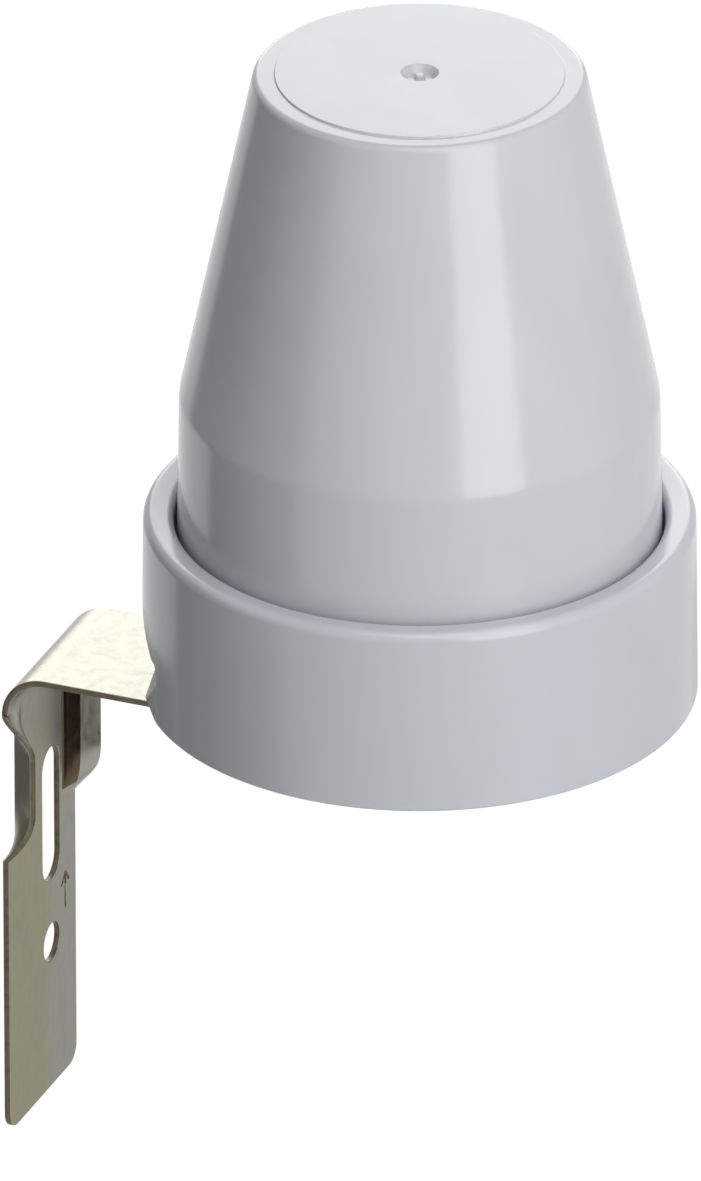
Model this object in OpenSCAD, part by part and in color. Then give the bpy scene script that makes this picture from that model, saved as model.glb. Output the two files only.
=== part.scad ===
// Outdoor light sensor: a conical cap on a short round base, carried by a pressed steel wall bracket.
// Origin: centre of the wall screw hole, on the bracket's wall face.
// +X points away from the wall, +Z is up.

/* [Cap] */
// How much the foot narrows on each side up to the shoulder
cap_taper = 0.45; // [0.2:0.05:0.6]
// Height from the foot's lower edge to the shoulder
cap_foot_h = 26; // [22:0.5:32]
// Height from the shoulder to the flat top
cap_cone_h = 47.5; // [43:0.5:56]
// Outer diameter of the flat top
cap_top_d = 44.5; // [40:0.5:50]
// Wall thickness of the cap
cap_wall = 1.8; // [1.5:0.1:2.2]
// Thickness of the cap's flat top
cap_roof_t = 2.2; // [1.8:0.1:3]
// Rounding where the cone meets the flat top
cap_edge_round = 1.1; // [0.6:0.1:1.8]
// Rounding between the foot and the cone
cap_shoulder_round = 8; // [4:0.5:14]
// Distance from the top's edge to the raised disc
disc_inset = 2.9; // [2.4:0.1:4]
// Height of the raised disc
disc_h = 0.28; // [0.2:0.02:0.5]
// Diameter of the moulding dimple in the middle of the disc
gate_d = 5.2; // [4:0.1:7]
// Depth of the dimple
gate_depth = 1; // [0.7:0.1:1.3]
// Diameter of the nub that stands in the dimple
gate_nub_d = 1.5; // [1:0.1:2]

/* [Base] */
// Outer diameter of the base at its lower edge
base_d = 75; // [73.5:0.5:80]
// Height of the base, from its lower edge to its flat rim
base_h = 26.5; // [25.5:0.5:30]
// How much the base narrows on each side up to the rim
base_taper = 0.3; // [0.1:0.05:0.5]
// Width of the flat rim around the cap's foot
rim_w = 4.15; // [3.8:0.05:4.6]
// Rounding of the rim's outer edge
rim_round = 1.4; // [0.8:0.1:1.6]
// Thickness of the skirt under the floor
skirt_wall = 2.4; // [1.8:0.1:3]
// Depth of the open space under the floor
recess_h = 14; // [13:0.5:15]
// Thickness of the floor
floor_t = 2.5; // [2.2:0.1:3]
// Height of the collar that the cap slides over
collar_h = 8.5; // [6.5:0.5:9]
// Wall of the collar
collar_wall = 2; // [1.6:0.1:2.4]
// Gap between the cap's foot and the rim around it
cap_gap = 0.3; // [0.3:0.05:0.5]
// Gap between the cap's foot and the collar inside it
collar_gap = 0.5; // [0.5:0.05:0.8]
// Thickness of the seal ring under the cap's foot
seal_t = 1.5; // [1:0.1:2]
// Diameter of the pivot boss under the floor
boss_d = 15; // [13:0.5:16]
// How far the boss reaches below the skirt
boss_drop = 1.5; // [1:0.1:3]
// Thickness of the ribs under the floor
rib_t = 1.6; // [1.2:0.1:2]
// Height of the ribs under the floor
rib_h = 9; // [6:0.5:10]

/* [Bracket notch in the skirt] */
// Width of the notch at the skirt's lower edge
notch_foot_w = 35; // [33:0.5:38]
// Width of the notch where it is widest
notch_w = 47.6; // [45:0.2:50]
// Height at which the notch is widest
notch_knee_h = 8; // [7:0.5:9]
// Width of the notch at its top
notch_top_w = 30; // [26:0.5:32]
// Wall left between the notch and the floor
notch_lintel = 1; // [0.6:0.1:1.6]

/* [Bracket] */
// Distance from the wall face to the axis of the base
reach = 54.9; // [52:0.1:60]
// Height of the strip's upper face above the wall hole
strip_top = 48; // [46:0.5:54]
// Width of the steel strip
strip_w = 23.5; // [22:0.5:25]
// Distance from the strip's middle line to the line of its holes
strip_shift = 3.2; // [2:0.1:3.4]
// Thickness of the steel
strip_t = 0.9; // [0.8:0.1:1.2]
// Outer radius of the bend
bend_r = 6.2; // [5:0.1:6.8]
// Length of the upright leg below the wall hole
leg_tail = 22; // [16:0.5:28]
// Length of the strip past the pivot
strip_tail = 9; // [8:0.5:12]
// Rounding of the strip's corners
strip_corner = 2.6; // [1.5:0.1:4]
// Diameter of the wall hole
wall_hole_d = 5.6; // [5:0.1:6]
// Width of the wall slot
slot_w = 6; // [5:0.1:6.2]
// Length of the wall slot, end to end
slot_len = 20.2; // [16:0.2:21]
// Height of the slot's middle above the wall hole
slot_rise = 19.7; // [18:0.1:21]

/* [Pressed wings of the bracket] */
// Width of the strip's edge that is folded into a wing
wing_w = 4.7; // [4.2:0.1:5.2]
// Fold angle of the wings
wing_angle = 45; // [35:1:55]
// Inner radius of the fold
wing_fold_r = 1.2; // [1:0.1:2]
// How far a wing's free edge stands out past the strip's own edge
wing_tab = 1.7; // [1:0.1:2.2]
// Height of the rounded corner at each end of a wing's free edge
wing_corner = 4.4; // [3:0.2:6]
// Height of the wings, with the stretches that run out into the strip
wing_h = 22.4; // [20:0.2:24]
// Height of the stretch in which a wing runs out into the leg
wing_run = 8; // [6:0.5:9]
// Height of the stretch in which a wing runs out into the bend
wing_run_top = 6; // [4:0.5:7]

/* [Pivot] */
// Diameter of the pivot screw
screw_d = 4; // [3.5:0.1:4.2]
// Length of the pivot screw under its head
screw_len = 22; // [21.5:0.5:25]
// Running gap between the screw and the strip
pivot_gap = 0.08; // [0.05:0.01:0.1]
// Diameter of the screw's head
screw_head_d = 8; // [7.6:0.1:9]
// Height of the screw's head
screw_head_h = 2.6; // [2.2:0.1:3]
// Width of the nut across its flats
nut_af = 7; // [6.6:0.1:8]
// Thickness of the nut
nut_t = 3.2; // [2.8:0.1:3.4]
// Diameter of the friction pad between boss and strip
pad_d = 14.4; // [12:0.1:15]
// Thickness of the friction pad
pad_t = 0.5; // [0.4:0.1:1]
// Diameter of the flat washer
washer_d = 10; // [9:0.5:12]
// Thickness of the flat washer
washer_t = 0.8; // [0.6:0.1:1.2]
// Diameter of the spring washer
spring_washer_d = 7.4; // [7:0.1:7.6]
// Thickness of the spring washer
spring_washer_t = 1; // [0.8:0.1:1.2]

/* [Cable grommet] */
// Bore that the cable passes through
cable_d = 7.2; // [6:0.1:7.6]
// Diameter of the grommet's neck in the floor
grommet_neck_d = 11.6; // [10.5:0.1:12]
// Diameter of the grommet's flanges
grommet_flange_d = 15; // [14:0.1:15.6]
// Thickness of the flange above the floor
grommet_top_t = 1.4; // [1:0.1:2]
// Length of the nose below the floor
grommet_nose = 4; // [3:0.1:5]

/* [Circuit board] */
// Thickness of the board
board_t = 1.6; // [1.2:0.1:2]
// Gap between the board and the collar
board_gap = 0.5; // [0.3:0.1:0.8]
// Height of the posts that carry the board
post_h = 5.5; // [5:0.1:6.4]
// Diameter of the posts
post_d = 6; // [5:0.1:6.6]
// Core diameter of the board screws
board_screw_d = 2.6; // [2.2:0.1:2.9]
// Length of the board screws under their heads
board_screw_len = 7.5; // [6:0.1:8]
// Head diameter of the board screws
board_head_d = 5.2; // [4.8:0.1:5.4]
// Head height of the board screws
board_head_h = 1.9; // [1.5:0.1:2.4]

/* [Parts on the board] */
// Length of the relay
relay_l = 19; // [18:0.1:19.4]
// Width of the relay
relay_w = 15.5; // [14:0.1:15.8]
// Height of the relay's case above its own base
relay_h = 14; // [12:0.5:18]
// Thickness of the relay's base
relay_base_t = 1.5; // [1:0.1:2]
// Length of the film capacitor
film_l = 18; // [16:0.1:18.4]
// Width of the film capacitor
film_w = 8.5; // [7:0.1:9]
// Height of the film capacitor
film_h = 15; // [12:0.5:17]
// Diameter of the electrolytic capacitor
can_d = 10; // [8:0.1:10.2]
// Height of the electrolytic capacitor
can_h = 16; // [12:0.5:20]
// Diameter of the varistor disc
varistor_d = 9; // [7:0.1:9.4]
// Thickness of the varistor disc
varistor_t = 4; // [3.4:0.1:4.2]
// Body diameter of a rectifier diode
diode_d = 2.7; // [2.2:0.1:2.9]
// Body length of a rectifier diode
diode_l = 5.2; // [4.4:0.1:5.6]
// Body diameter of a resistor
resistor_d = 2.4; // [2:0.1:2.6]
// Body length of a resistor
resistor_l = 6.3; // [5.4:0.1:6.6]
// Body diameter of the power resistor
power_d = 4.5; // [4:0.1:4.7]
// Body length of the power resistor
power_l = 9.4; // [8:0.1:9.8]
// Diameter of a transistor's round side
transistor_d = 4.6; // [4:0.1:4.8]
// Height of a transistor's body
transistor_h = 4.8; // [4:0.1:5.6]
// Distance from the board to a transistor's body
transistor_rise = 3; // [2:0.1:5]
// Diameter of the photocell's disc
photocell_d = 5.1; // [4.6:0.1:5.6]
// Thickness of the photocell's disc
photocell_t = 2.1; // [1.6:0.1:2.6]
// Height of the tower that lifts the photocell into the cone
tower_h = 40; // [34:0.5:48]
// Diameter of the tower
tower_d = 6; // [5.6:0.1:6.4]

/* [Hidden] */
$fn = 96;

// Flat steps that draw one rounded corner
corner_steps = 6;
// Overrun of a cut past the face that it opens
cut = 1;
// Depth to which a rib, post or wing reaches into the wall that carries it
root = 0.5;

// Outer sizes of the base, and of the cap's foot inside its rim
base_r = base_d / 2;
rim_r = base_r - base_taper;
groove_r = rim_r - rim_w;

// Cap
cap_r = groove_r - cap_gap;
cap_shoulder_r = cap_r - cap_taper;
cap_top_r = cap_top_d / 2;
cap_h = cap_foot_h + cap_cone_h;
disc_r = cap_top_r - disc_inset;
cap_lip_round = cap_wall / 6;
gate_round = gate_depth / 3;
gate_floor_share = 0.55;

// Base, with heights above its own lower edge
collar_r = cap_r - cap_wall - collar_gap;
collar_in_r = collar_r - collar_wall;
skirt_in_r = base_r - skirt_wall;
floor_top = recess_h + floor_t;
rim_inner_round = cap_wall / 5;
skirt_foot_round = skirt_wall / 6;
collar_round = collar_wall / 4;
skirt_root_round = skirt_wall / 2;
boss_bore_gap = 0.2;
nut_gap = 0.15;
nut_pocket = nut_t + nut_gap;
rib_angles = [0, 60, 120, 240, 300];
seal_gap = 0.15;
notch_h = recess_h - notch_lintel;
notch_reach_share = 0.7;
facet_angles = [24, 41.5];
facet_rise_share = 1.08;

// Levels above the wall hole
base_z = strip_top + pad_t + boss_drop;
cap_z = base_z + floor_top + seal_t;
board_z = base_z + floor_top + post_h;
board_top = board_z + board_t;

// Bracket
strip_y0 = -strip_w / 2 - strip_shift;
strip_y1 = strip_w / 2 - strip_shift;
leg_top = strip_top - bend_r;
wing_top = leg_top;
wing_foot = wing_top - wing_h;
wing_mid_r = wing_fold_r + strip_t / 2;
wing_steps = 8;
wing_run_steps = 10;
pivot_hole_r = screw_d / 2 + pivot_gap;

// Pivot stack, downwards from the strip
washer_z = strip_top - strip_t - washer_t;
spring_washer_z = washer_z - spring_washer_t;
washer_bore_gap = 0.15;
spring_split = 14;
// Dome of a screw's head and its cross recess, as shares of the head's height and diameter
dome_share = 0.6;
drive_width_share = 0.14;
drive_span_share = 0.58;
drive_depth_share = 0.5;

// Board and its places, as shares of the board's radius
// The places and sizes of the parts are drawn for a board of the planned radius and follow the real one
board_r = collar_in_r - board_gap;
board_plan_r = 27.95;
board_scale = board_r / board_plan_r;
post_share = 0.75;
post_angles = [30, 150, 270];
pilot_gap = 0.05;
pilot_floor = floor_t / 2;
grommet_share = 0.69;
grommet_gap = 0.15;
board_hole_gap = 0.2;
lead_gap = 0.15;
eyelet_shares = [[-0.18, 0.81], [0, 0.81], [0.18, 0.81]];
relay_share = [-0.39, -0.14];
film_share = [0.41, -0.25];
can_share = [0.375, 0.16];
varistor_share = [0.33, 0.59];
diode_shares = [[-0.33, -0.55], [-0.33, -0.69], [0.33, -0.55], [0.33, -0.69]];
zener_share = [-0.29, 0.47];
resistor_shares = [[-0.32, 0.61, 0], [0.815, -0.02, 90], [-0.835, -0.07, 90]];
power_share = [-0.36, 0.26];
transistor_shares = [[0.66, 0.15], [0.035, 0.56]];
tower_share = [0.035, 0.295];

// Leads
thin_wire_r = 0.25;
wire_r = 0.35;
thick_wire_r = 0.45;
pin_r = 0.5;
lead_bend_r = 0.8;
body_rise = 0.4;
wire_fn = 24;
axial_pitch = diode_l * 1.9;
resistor_pitch = resistor_l * 1.6;
power_pitch = power_l * 1.4;
film_pitch = film_l * 0.83;
can_pitch = can_d / 2;
varistor_pitch = varistor_d * 0.55;
transistor_pitch = transistor_d * 0.28;
photocell_pitch = photocell_d * 0.5;
relay_pin_shares = [[-0.38, -0.38], [-0.38, 0.38], [0.26, -0.38], [0.26, 0.38], [0.42, 0]];
solder_h = 1;
solder_spread_share = 1.9;
solder_tip_share = 0.8;
eyelet_r = 1.3;
eyelet_bore_r = 0.8;
eyelet_flange_r = 1.7;
eyelet_flange_t = 0.3;

// Forms of the parts on the board
end_cap_share = 0.22;
waist_start_share = 0.3;
resistor_waist_share = 0.86;
power_waist_share = 0.9;
can_groove_rise_share = 0.16;
can_groove_share = 0.93;
transistor_flat_share = 0.3;
tower_foot_h = tower_d / 4;
tower_waist_share = 0.8;
tower_taper_share = 1.6;

// Shared functions

// Vector v turned by angle a
function turned(v, a) = [v.x * cos(a) - v.y * sin(a), v.x * sin(a) + v.y * cos(a)];

// Points of the arc of radius r that rounds corner p between its neighbours a and b
function round_corner(a, p, b, r) =
    let (
        u = (a - p) / norm(a - p),
        w = (b - p) / norm(b - p),
        half = acos(u * w) / 2,
        centre = p + (u + w) / norm(u + w) * r / sin(half),
        start = p + u * r / tan(half) - centre,
        end = p + w * r / tan(half) - centre,
        turn = (180 - 2 * half) * sign(cross(start, end))
    )
    [for (i = [0:corner_steps]) centre + turned(start, turn * i / corner_steps)];

// Outline through corners [x, y, r], each rounded by its own r
function rounded(corners) =
    let (n = len(corners))
    [
        for (i = [0:n - 1])
            let (a = corners[(i + n - 1) % n], p = corners[i], b = corners[(i + 1) % n])
            each p[2] == 0 ? [[p.x, p.y]] : round_corner([a.x, a.y], [p.x, p.y], [b.x, b.y], p[2])
    ];

// Outline of a rectangle from corner lo to corner hi with corners rounded by r
function rounded_rect(lo, hi, r) =
    rounded([[lo.x, lo.y, r], [hi.x, lo.y, r], [hi.x, hi.y, r], [lo.x, hi.y, r]]);

// Point on the board's plane, from its share of the planned radius
function at_board(share) = [reach + share.x * board_plan_r, share.y * board_plan_r];

// The two ends of a pair of leads, pitch apart, along direction angle a
function pair(share, pitch, a) =
    [for (side = [-1, 1]) at_board(share) + turned([side * pitch / 2, 0], a)];

// A list of lead places, each with its wire radius
function leads(places, r) = [for (p = places) [p.x, p.y, r]];

diode_leads = [for (s = diode_shares) each leads(pair(s, axial_pitch, 0), wire_r)];
zener_leads = leads(pair(zener_share, axial_pitch, 0), wire_r);
resistor_leads = [for (s = resistor_shares) each leads(pair(s, resistor_pitch, s[2]), wire_r)];
power_leads = leads(pair(power_share, power_pitch, 0), wire_r);
film_leads = leads(pair(film_share, film_pitch, 0), thick_wire_r);
can_leads = leads(pair(can_share, can_pitch, 0), wire_r);
varistor_lead_places = leads(pair(varistor_share, varistor_pitch, 0), wire_r);
photocell_lead_places = leads(pair(tower_share, photocell_pitch, 0), thin_wire_r);
transistor_lead_places = [
    for (s = transistor_shares, i = [-1:1])
        [at_board(s).x + i * transistor_pitch, at_board(s).y, thin_wire_r]
];
relay_place = at_board(relay_share);
relay_pin_places = [
    for (s = relay_pin_shares)
        [relay_place.x + s.x * relay_l, relay_place.y + s.y * relay_w, pin_r]
];
all_leads = concat(
    diode_leads, zener_leads, resistor_leads, power_leads, film_leads, can_leads,
    varistor_lead_places, photocell_lead_places, transistor_lead_places, relay_pin_places
);

// Cap

module cap() {
    color([0.84, 0.86, 0.90])
        translate([reach, 0, cap_z])
            rotate_extrude()
                polygon(rounded([
                    [cap_r, 0, cap_lip_round],
                    [cap_shoulder_r, cap_foot_h, cap_shoulder_round],
                    [cap_top_r, cap_h, cap_edge_round],
                    [disc_r, cap_h, 0],
                    [disc_r, cap_h + disc_h, disc_h / 2],
                    [gate_d / 2, cap_h + disc_h, gate_round],
                    [gate_d / 2 * gate_floor_share, cap_h + disc_h - gate_depth, gate_round],
                    [gate_nub_d / 2, cap_h + disc_h - gate_depth, 0],
                    [gate_nub_d / 2, cap_h, gate_nub_d / 6],
                    [0, cap_h, 0],
                    [0, cap_h - cap_roof_t, 0],
                    [cap_top_r - cap_wall, cap_h - cap_roof_t, cap_edge_round],
                    [cap_shoulder_r - cap_wall, cap_foot_h, cap_shoulder_round],
                    [cap_r - cap_wall, 0, cap_lip_round]
                ]));
}

module seal_ring() {
    color([0.16, 0.16, 0.17])
        translate([reach, 0, base_z + floor_top])
            difference() {
                cylinder(r = groove_r - seal_gap, h = seal_t);
                translate([0, 0, -cut])
                    cylinder(r = collar_r + seal_gap, h = seal_t + 2 * cut);
            }
}

// Base

module base_shell() {
    rotate_extrude()
        polygon(rounded([
            [base_r, 0, skirt_foot_round],
            [rim_r, base_h, rim_round],
            [groove_r, base_h, rim_inner_round],
            [groove_r, floor_top, 0],
            [collar_r, floor_top, 0],
            [collar_r, floor_top + collar_h, collar_round],
            [collar_in_r, floor_top + collar_h, collar_round],
            [collar_in_r, floor_top, 0],
            [0, floor_top, 0],
            [0, recess_h, 0],
            [skirt_in_r, recess_h, skirt_root_round],
            [skirt_in_r, 0, 0]
        ]));
}

module base_ribs() {
    for (a = rib_angles)
        rotate(a)
            translate([boss_d / 2 - root, -rib_t / 2, recess_h - rib_h])
                cube([skirt_in_r + root - boss_d / 2 + root, rib_t, rib_h + root]);
}

// Scales children about the middle of the floor, so that they follow the base's size
module follow_floor() {
    translate([0, 0, floor_top])
        scale(board_scale)
            translate([0, 0, -floor_top])
                children();
}

// The same for children that stand in their place above the wall hole
module on_board() {
    translate([reach, 0, base_z])
        follow_floor()
            translate([-reach, 0, -base_z])
                children();
}

module board_posts() {
    follow_floor()
        for (a = post_angles)
            rotate(a)
                translate([post_share * board_plan_r, 0, floor_top - root])
                    cylinder(d = post_d, h = post_h + root);
}

module board_post_pilots() {
    follow_floor()
        for (a = post_angles)
            rotate(a)
                translate([post_share * board_plan_r, 0, recess_h + pilot_floor])
                    cylinder(d = board_screw_d + 2 * pilot_gap, h = floor_t + post_h);
}

// Opening in the skirt, over the bracket and the cable
module skirt_notch() {
    translate([-notch_reach_share * skirt_in_r, 0, 0])
        rotate([90, 0, -90])
            linear_extrude(base_r)
                polygon([
                    [notch_foot_w / 2, 0],
                    [notch_w / 2, notch_knee_h],
                    [notch_top_w / 2, notch_h],
                    [-notch_top_w / 2, notch_h],
                    [-notch_w / 2, notch_knee_h],
                    [-notch_foot_w / 2, 0],
                    [-notch_foot_w / 2, -cut],
                    [notch_foot_w / 2, -cut]
                ]);
}

// Flat land beside the notch, between two angles off the bracket's line
module notch_facet() {
    half = (facet_angles[1] - facet_angles[0]) / 2;
    rotate(180 + facet_angles[0] + half)
        translate([base_r * cos(half), -base_r * sin(half), -cut])
            cube([base_r, 2 * base_r * sin(half), facet_rise_share * notch_knee_h + cut]);
}

module base() {
    color([0.76, 0.79, 0.84])
        translate([reach, 0, base_z])
            difference() {
                union() {
                    base_shell();
                    base_ribs();
                    board_posts();
                    translate([0, 0, -boss_drop])
                        cylinder(d = boss_d, h = boss_drop + recess_h + root);
                }
                board_post_pilots();
                translate([0, 0, -boss_drop - cut])
                    cylinder(r = screw_d / 2 + boss_bore_gap, h = boss_drop + floor_top + 2 * cut);
                translate([0, 0, floor_top - nut_pocket])
                    cylinder(d = (nut_af + 2 * nut_gap) / cos(30), h = nut_pocket + cut, $fn = 6);
                translate([0, grommet_share * board_r, recess_h - cut])
                    cylinder(d = grommet_neck_d * board_scale + 2 * grommet_gap, h = floor_t + 2 * cut);
                skirt_notch();
                notch_facet();
                mirror([0, 1, 0])
                    notch_facet();
            }
}

module cable_grommet() {
    neck_r = grommet_neck_d / 2 * board_scale;
    flange_r = grommet_flange_d / 2 * board_scale;
    bore_r = cable_d / 2 * board_scale;
    edge = grommet_top_t / 4;
    color([0.13, 0.13, 0.14])
        translate([reach, grommet_share * board_r, base_z + recess_h])
            rotate_extrude()
                polygon(rounded([
                    [bore_r, -grommet_nose, 0],
                    [neck_r, -grommet_nose, edge],
                    [flange_r, -grommet_top_t, edge],
                    [flange_r, 0, edge],
                    [neck_r, 0, 0],
                    [neck_r, floor_t, 0],
                    [flange_r, floor_t, edge],
                    [flange_r, floor_t + grommet_top_t, edge],
                    [bore_r, floor_t + grommet_top_t, 0]
                ]));
}

// Bracket

// Smooth step from 0 to 1
function eased(u) = u <= 0 ? 0 : u >= 1 ? 1 : sin(90 * u);

// Height of a quarter circle at share u of its width
function quarter(u) = u <= 0 ? 0 : u >= 1 ? 1 : sqrt(1 - (1 - u) * (1 - u));

// Fold angle of the wings at height z, eased in and out at their ends
function wing_turn(z) =
    wing_angle * min(eased((z - wing_foot) / wing_run), eased((wing_top - z) / wing_run_top));

// Width of a wing along the sheet at height z
function wing_reach(z) =
    wing_w + wing_tab * min(quarter((z - wing_foot) / wing_corner), quarter((wing_top - z) / wing_corner));

// Point [x, y, z] of the pressed sheet, on its face of fold radius r, at distance s past a fold line.
// side is -1 or 1, for the fold at the near or the far edge
function sheet_point(side, s, z, r) =
    let (
        turn = min(s / wing_mid_r * 180 / PI, wing_turn(z)),
        straight = s - turn / 180 * PI * wing_mid_r
    )
    [
        wing_fold_r + strip_t - r * cos(turn) + straight * sin(turn),
        side * (strip_w / 2 - wing_w + r * sin(turn) + straight * cos(turn)) - strip_shift,
        z
    ];

// Across one face of the sheet, from the near free edge to the far one
function sheet_row(z, r) = concat(
    [for (i = [wing_steps:-1:0]) sheet_point(-1, wing_reach(z) * i / wing_steps, z, r)],
    [for (i = [0:wing_steps]) sheet_point(1, wing_reach(z) * i / wing_steps, z, r)]
);
function reversed(list) = [for (i = [len(list) - 1:-1:0]) list[i]];

// Heights of the sheet's sections, closer together towards the ends of the wings
wing_levels = [
    for (i = [0:wing_run_steps]) wing_foot + wing_run * pow(i / wing_run_steps, 2),
    for (i = [wing_run_steps:-1:0]) wing_top - wing_run_top * pow(i / wing_run_steps, 2)
];

// The stretch of the leg with a wing folded up at each edge
module bracket_wings() {
    row = 2 * (wing_steps + 1);
    ring = 2 * row;
    top = (len(wing_levels) - 1) * ring;
    points = [
        for (z = wing_levels)
            each concat(sheet_row(z, wing_fold_r + strip_t), reversed(sheet_row(z, wing_fold_r)))
    ];
    sides = [
        for (k = [0:len(wing_levels) - 2], j = [0:ring - 1])
            let (a = k * ring + j, b = k * ring + (j + 1) % ring)
            each [[a, b, a + ring], [b, b + ring, a + ring]]
    ];
    ends = [
        for (j = [0:row - 2])
            each [
                [j, ring - 1 - j, j + 1],
                [j + 1, ring - 1 - j, ring - 2 - j],
                [top + j, top + j + 1, top + ring - 1 - j],
                [top + j + 1, top + ring - 2 - j, top + ring - 1 - j]
            ]
    ];
    polyhedron(points, concat(sides, ends));
}

// Lower stretch of the leg, with its outline drawn as [y, z]
module bracket_tail() {
    rotate([90, 0, 90])
        linear_extrude(strip_t)
            polygon(rounded([
                [strip_y0, -leg_tail, strip_corner],
                [strip_y1, -leg_tail, strip_corner],
                [strip_y1, wing_foot, 0],
                [strip_y0, wing_foot, 0]
            ]));
}

module wall_holes() {
    depth = strip_t + 2 * cut;
    half = (slot_len - slot_w) / 2;
    translate([-cut, 0, 0])
        rotate([0, 90, 0])
            cylinder(d = wall_hole_d, h = depth);
    for (side = [-1, 1])
        translate([-cut, 0, slot_rise + side * half])
            rotate([0, 90, 0])
                cylinder(d = slot_w, h = depth);
    translate([-cut, -slot_w / 2, slot_rise - half])
        cube([depth, slot_w, 2 * half]);
}

module bracket_bend() {
    translate([bend_r, strip_y0, leg_top])
        rotate([90, 0, 180])
            rotate_extrude(angle = 90)
                translate([bend_r - strip_t, 0])
                    square([strip_t, strip_w]);
}

module bracket_arm() {
    translate([0, 0, strip_top - strip_t])
        linear_extrude(strip_t)
            difference() {
                polygon(rounded([
                    [bend_r, strip_y0, 0],
                    [reach + strip_tail, strip_y0, strip_corner],
                    [reach + strip_tail, strip_y1, strip_corner],
                    [bend_r, strip_y1, 0]
                ]));
                translate([reach, 0])
                    circle(r = pivot_hole_r);
            }
}

module wall_bracket() {
    color([0.80, 0.78, 0.68])
        difference() {
            union() {
                bracket_tail();
                bracket_wings();
                bracket_bend();
                bracket_arm();
            }
            wall_holes();
        }
}

// Pivot

module ring_plate(z, outer_r, inner_r, h) {
    translate([reach, 0, z])
        difference() {
            cylinder(r = outer_r, h = h);
            translate([0, 0, -cut])
                cylinder(r = inner_r, h = h + 2 * cut);
        }
}

module friction_pad() {
    color([0.55, 0.20, 0.16])
        ring_plate(strip_top, pad_d / 2, screw_d / 2 + boss_bore_gap, pad_t);
}

module flat_washer() {
    color([0.78, 0.79, 0.80])
        ring_plate(washer_z, washer_d / 2, screw_d / 2 + washer_bore_gap, washer_t);
}

module spring_washer() {
    color([0.70, 0.71, 0.72])
        translate([reach, 0, spring_washer_z])
            rotate(spring_split / 2)
                rotate_extrude(angle = 360 - spring_split)
                    translate([screw_d / 2 + washer_bore_gap, 0])
                        square([spring_washer_d / 2 - screw_d / 2 - washer_bore_gap, spring_washer_t]);
}

// The cross recess of a head of diameter d and height h, cut upwards from z = 0
module cross_drive(d, h) {
    for (a = [0, 90])
        rotate(a)
            translate([-d * drive_span_share / 2, -d * drive_width_share / 2, -cut])
                cube([d * drive_span_share, d * drive_width_share, h * drive_depth_share + cut]);
}

module pivot_screw() {
    head_z = spring_washer_z - screw_head_h;
    color([0.78, 0.79, 0.80])
        translate([reach, 0, head_z])
            difference() {
                rotate_extrude()
                    polygon(rounded([
                        [0, 0, 0],
                        [screw_head_d / 2, 0, screw_head_h * dome_share],
                        [screw_head_d / 2, screw_head_h, 0],
                        [screw_d / 2, screw_head_h, 0],
                        [screw_d / 2, screw_head_h + screw_len, screw_d / 8],
                        [0, screw_head_h + screw_len, 0]
                    ]));
                cross_drive(screw_head_d, screw_head_h);
            }
}

module pivot_nut() {
    color([0.78, 0.79, 0.80])
        translate([reach, 0, base_z + floor_top - nut_t])
            difference() {
                cylinder(d = nut_af / cos(30), h = nut_t, $fn = 6);
                translate([0, 0, -cut])
                    cylinder(r = screw_d / 2 + pilot_gap, h = nut_t + 2 * cut);
            }
}

// Circuit board

module circuit_board() {
    color([0.72, 0.60, 0.36])
        on_board()
            difference() {
                translate([reach, 0, board_z])
                    cylinder(r = board_plan_r, h = board_t);
                for (a = post_angles)
                    translate([reach, 0, board_z - cut])
                        rotate(a)
                            translate([post_share * board_plan_r, 0, 0])
                                cylinder(d = board_screw_d + 2 * board_hole_gap, h = board_t + 2 * cut);
                for (s = eyelet_shares)
                    translate([at_board(s).x, at_board(s).y, board_z - cut])
                        cylinder(r = eyelet_r + lead_gap, h = board_t + 2 * cut);
                for (p = all_leads)
                    translate([p.x, p.y, board_z - cut])
                        cylinder(r = p[2] + lead_gap, h = board_t + 2 * cut, $fn = wire_fn);
            }
}

module board_screws() {
    head_r = board_head_d / 2;
    core_r = board_screw_d / 2;
    color([0.74, 0.75, 0.76])
        on_board()
            for (a = post_angles)
                translate([reach, 0, board_top])
                    rotate(a)
                        translate([post_share * board_plan_r, 0, 0])
                            difference() {
                                rotate_extrude()
                                    polygon(rounded([
                                        [0, board_head_h, 0],
                                        [head_r, board_head_h, board_head_h * dome_share],
                                        [head_r, 0, 0],
                                        [core_r, 0, 0],
                                        [core_r, -board_screw_len + core_r, 0],
                                        [0, -board_screw_len, 0]
                                    ]));
                                translate([0, 0, board_head_h])
                                    mirror([0, 0, 1])
                                        cross_drive(board_head_d, board_head_h);
                            }
}

module wire_eyelets() {
    color([0.82, 0.80, 0.72])
        on_board()
            for (s = eyelet_shares)
                translate([at_board(s).x, at_board(s).y, board_z - eyelet_flange_t])
                    rotate_extrude()
                        polygon([
                            [eyelet_bore_r, 0],
                            [eyelet_flange_r, 0],
                            [eyelet_flange_r, eyelet_flange_t],
                            [eyelet_r, eyelet_flange_t],
                            [eyelet_r, eyelet_flange_t + board_t],
                            [eyelet_flange_r, eyelet_flange_t + board_t],
                            [eyelet_flange_r, board_t + 2 * eyelet_flange_t],
                            [eyelet_bore_r, board_t + 2 * eyelet_flange_t]
                        ]);
}

// A straight lead from the board's underside up to height z
module straight_lead(p, z) {
    translate([p.x, p.y, board_z])
        cylinder(r = p[2], h = z - board_z, $fn = wire_fn);
}

module straight_leads(places, z) {
    for (p = places)
        straight_lead(p, z);
}

// Relay

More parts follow.
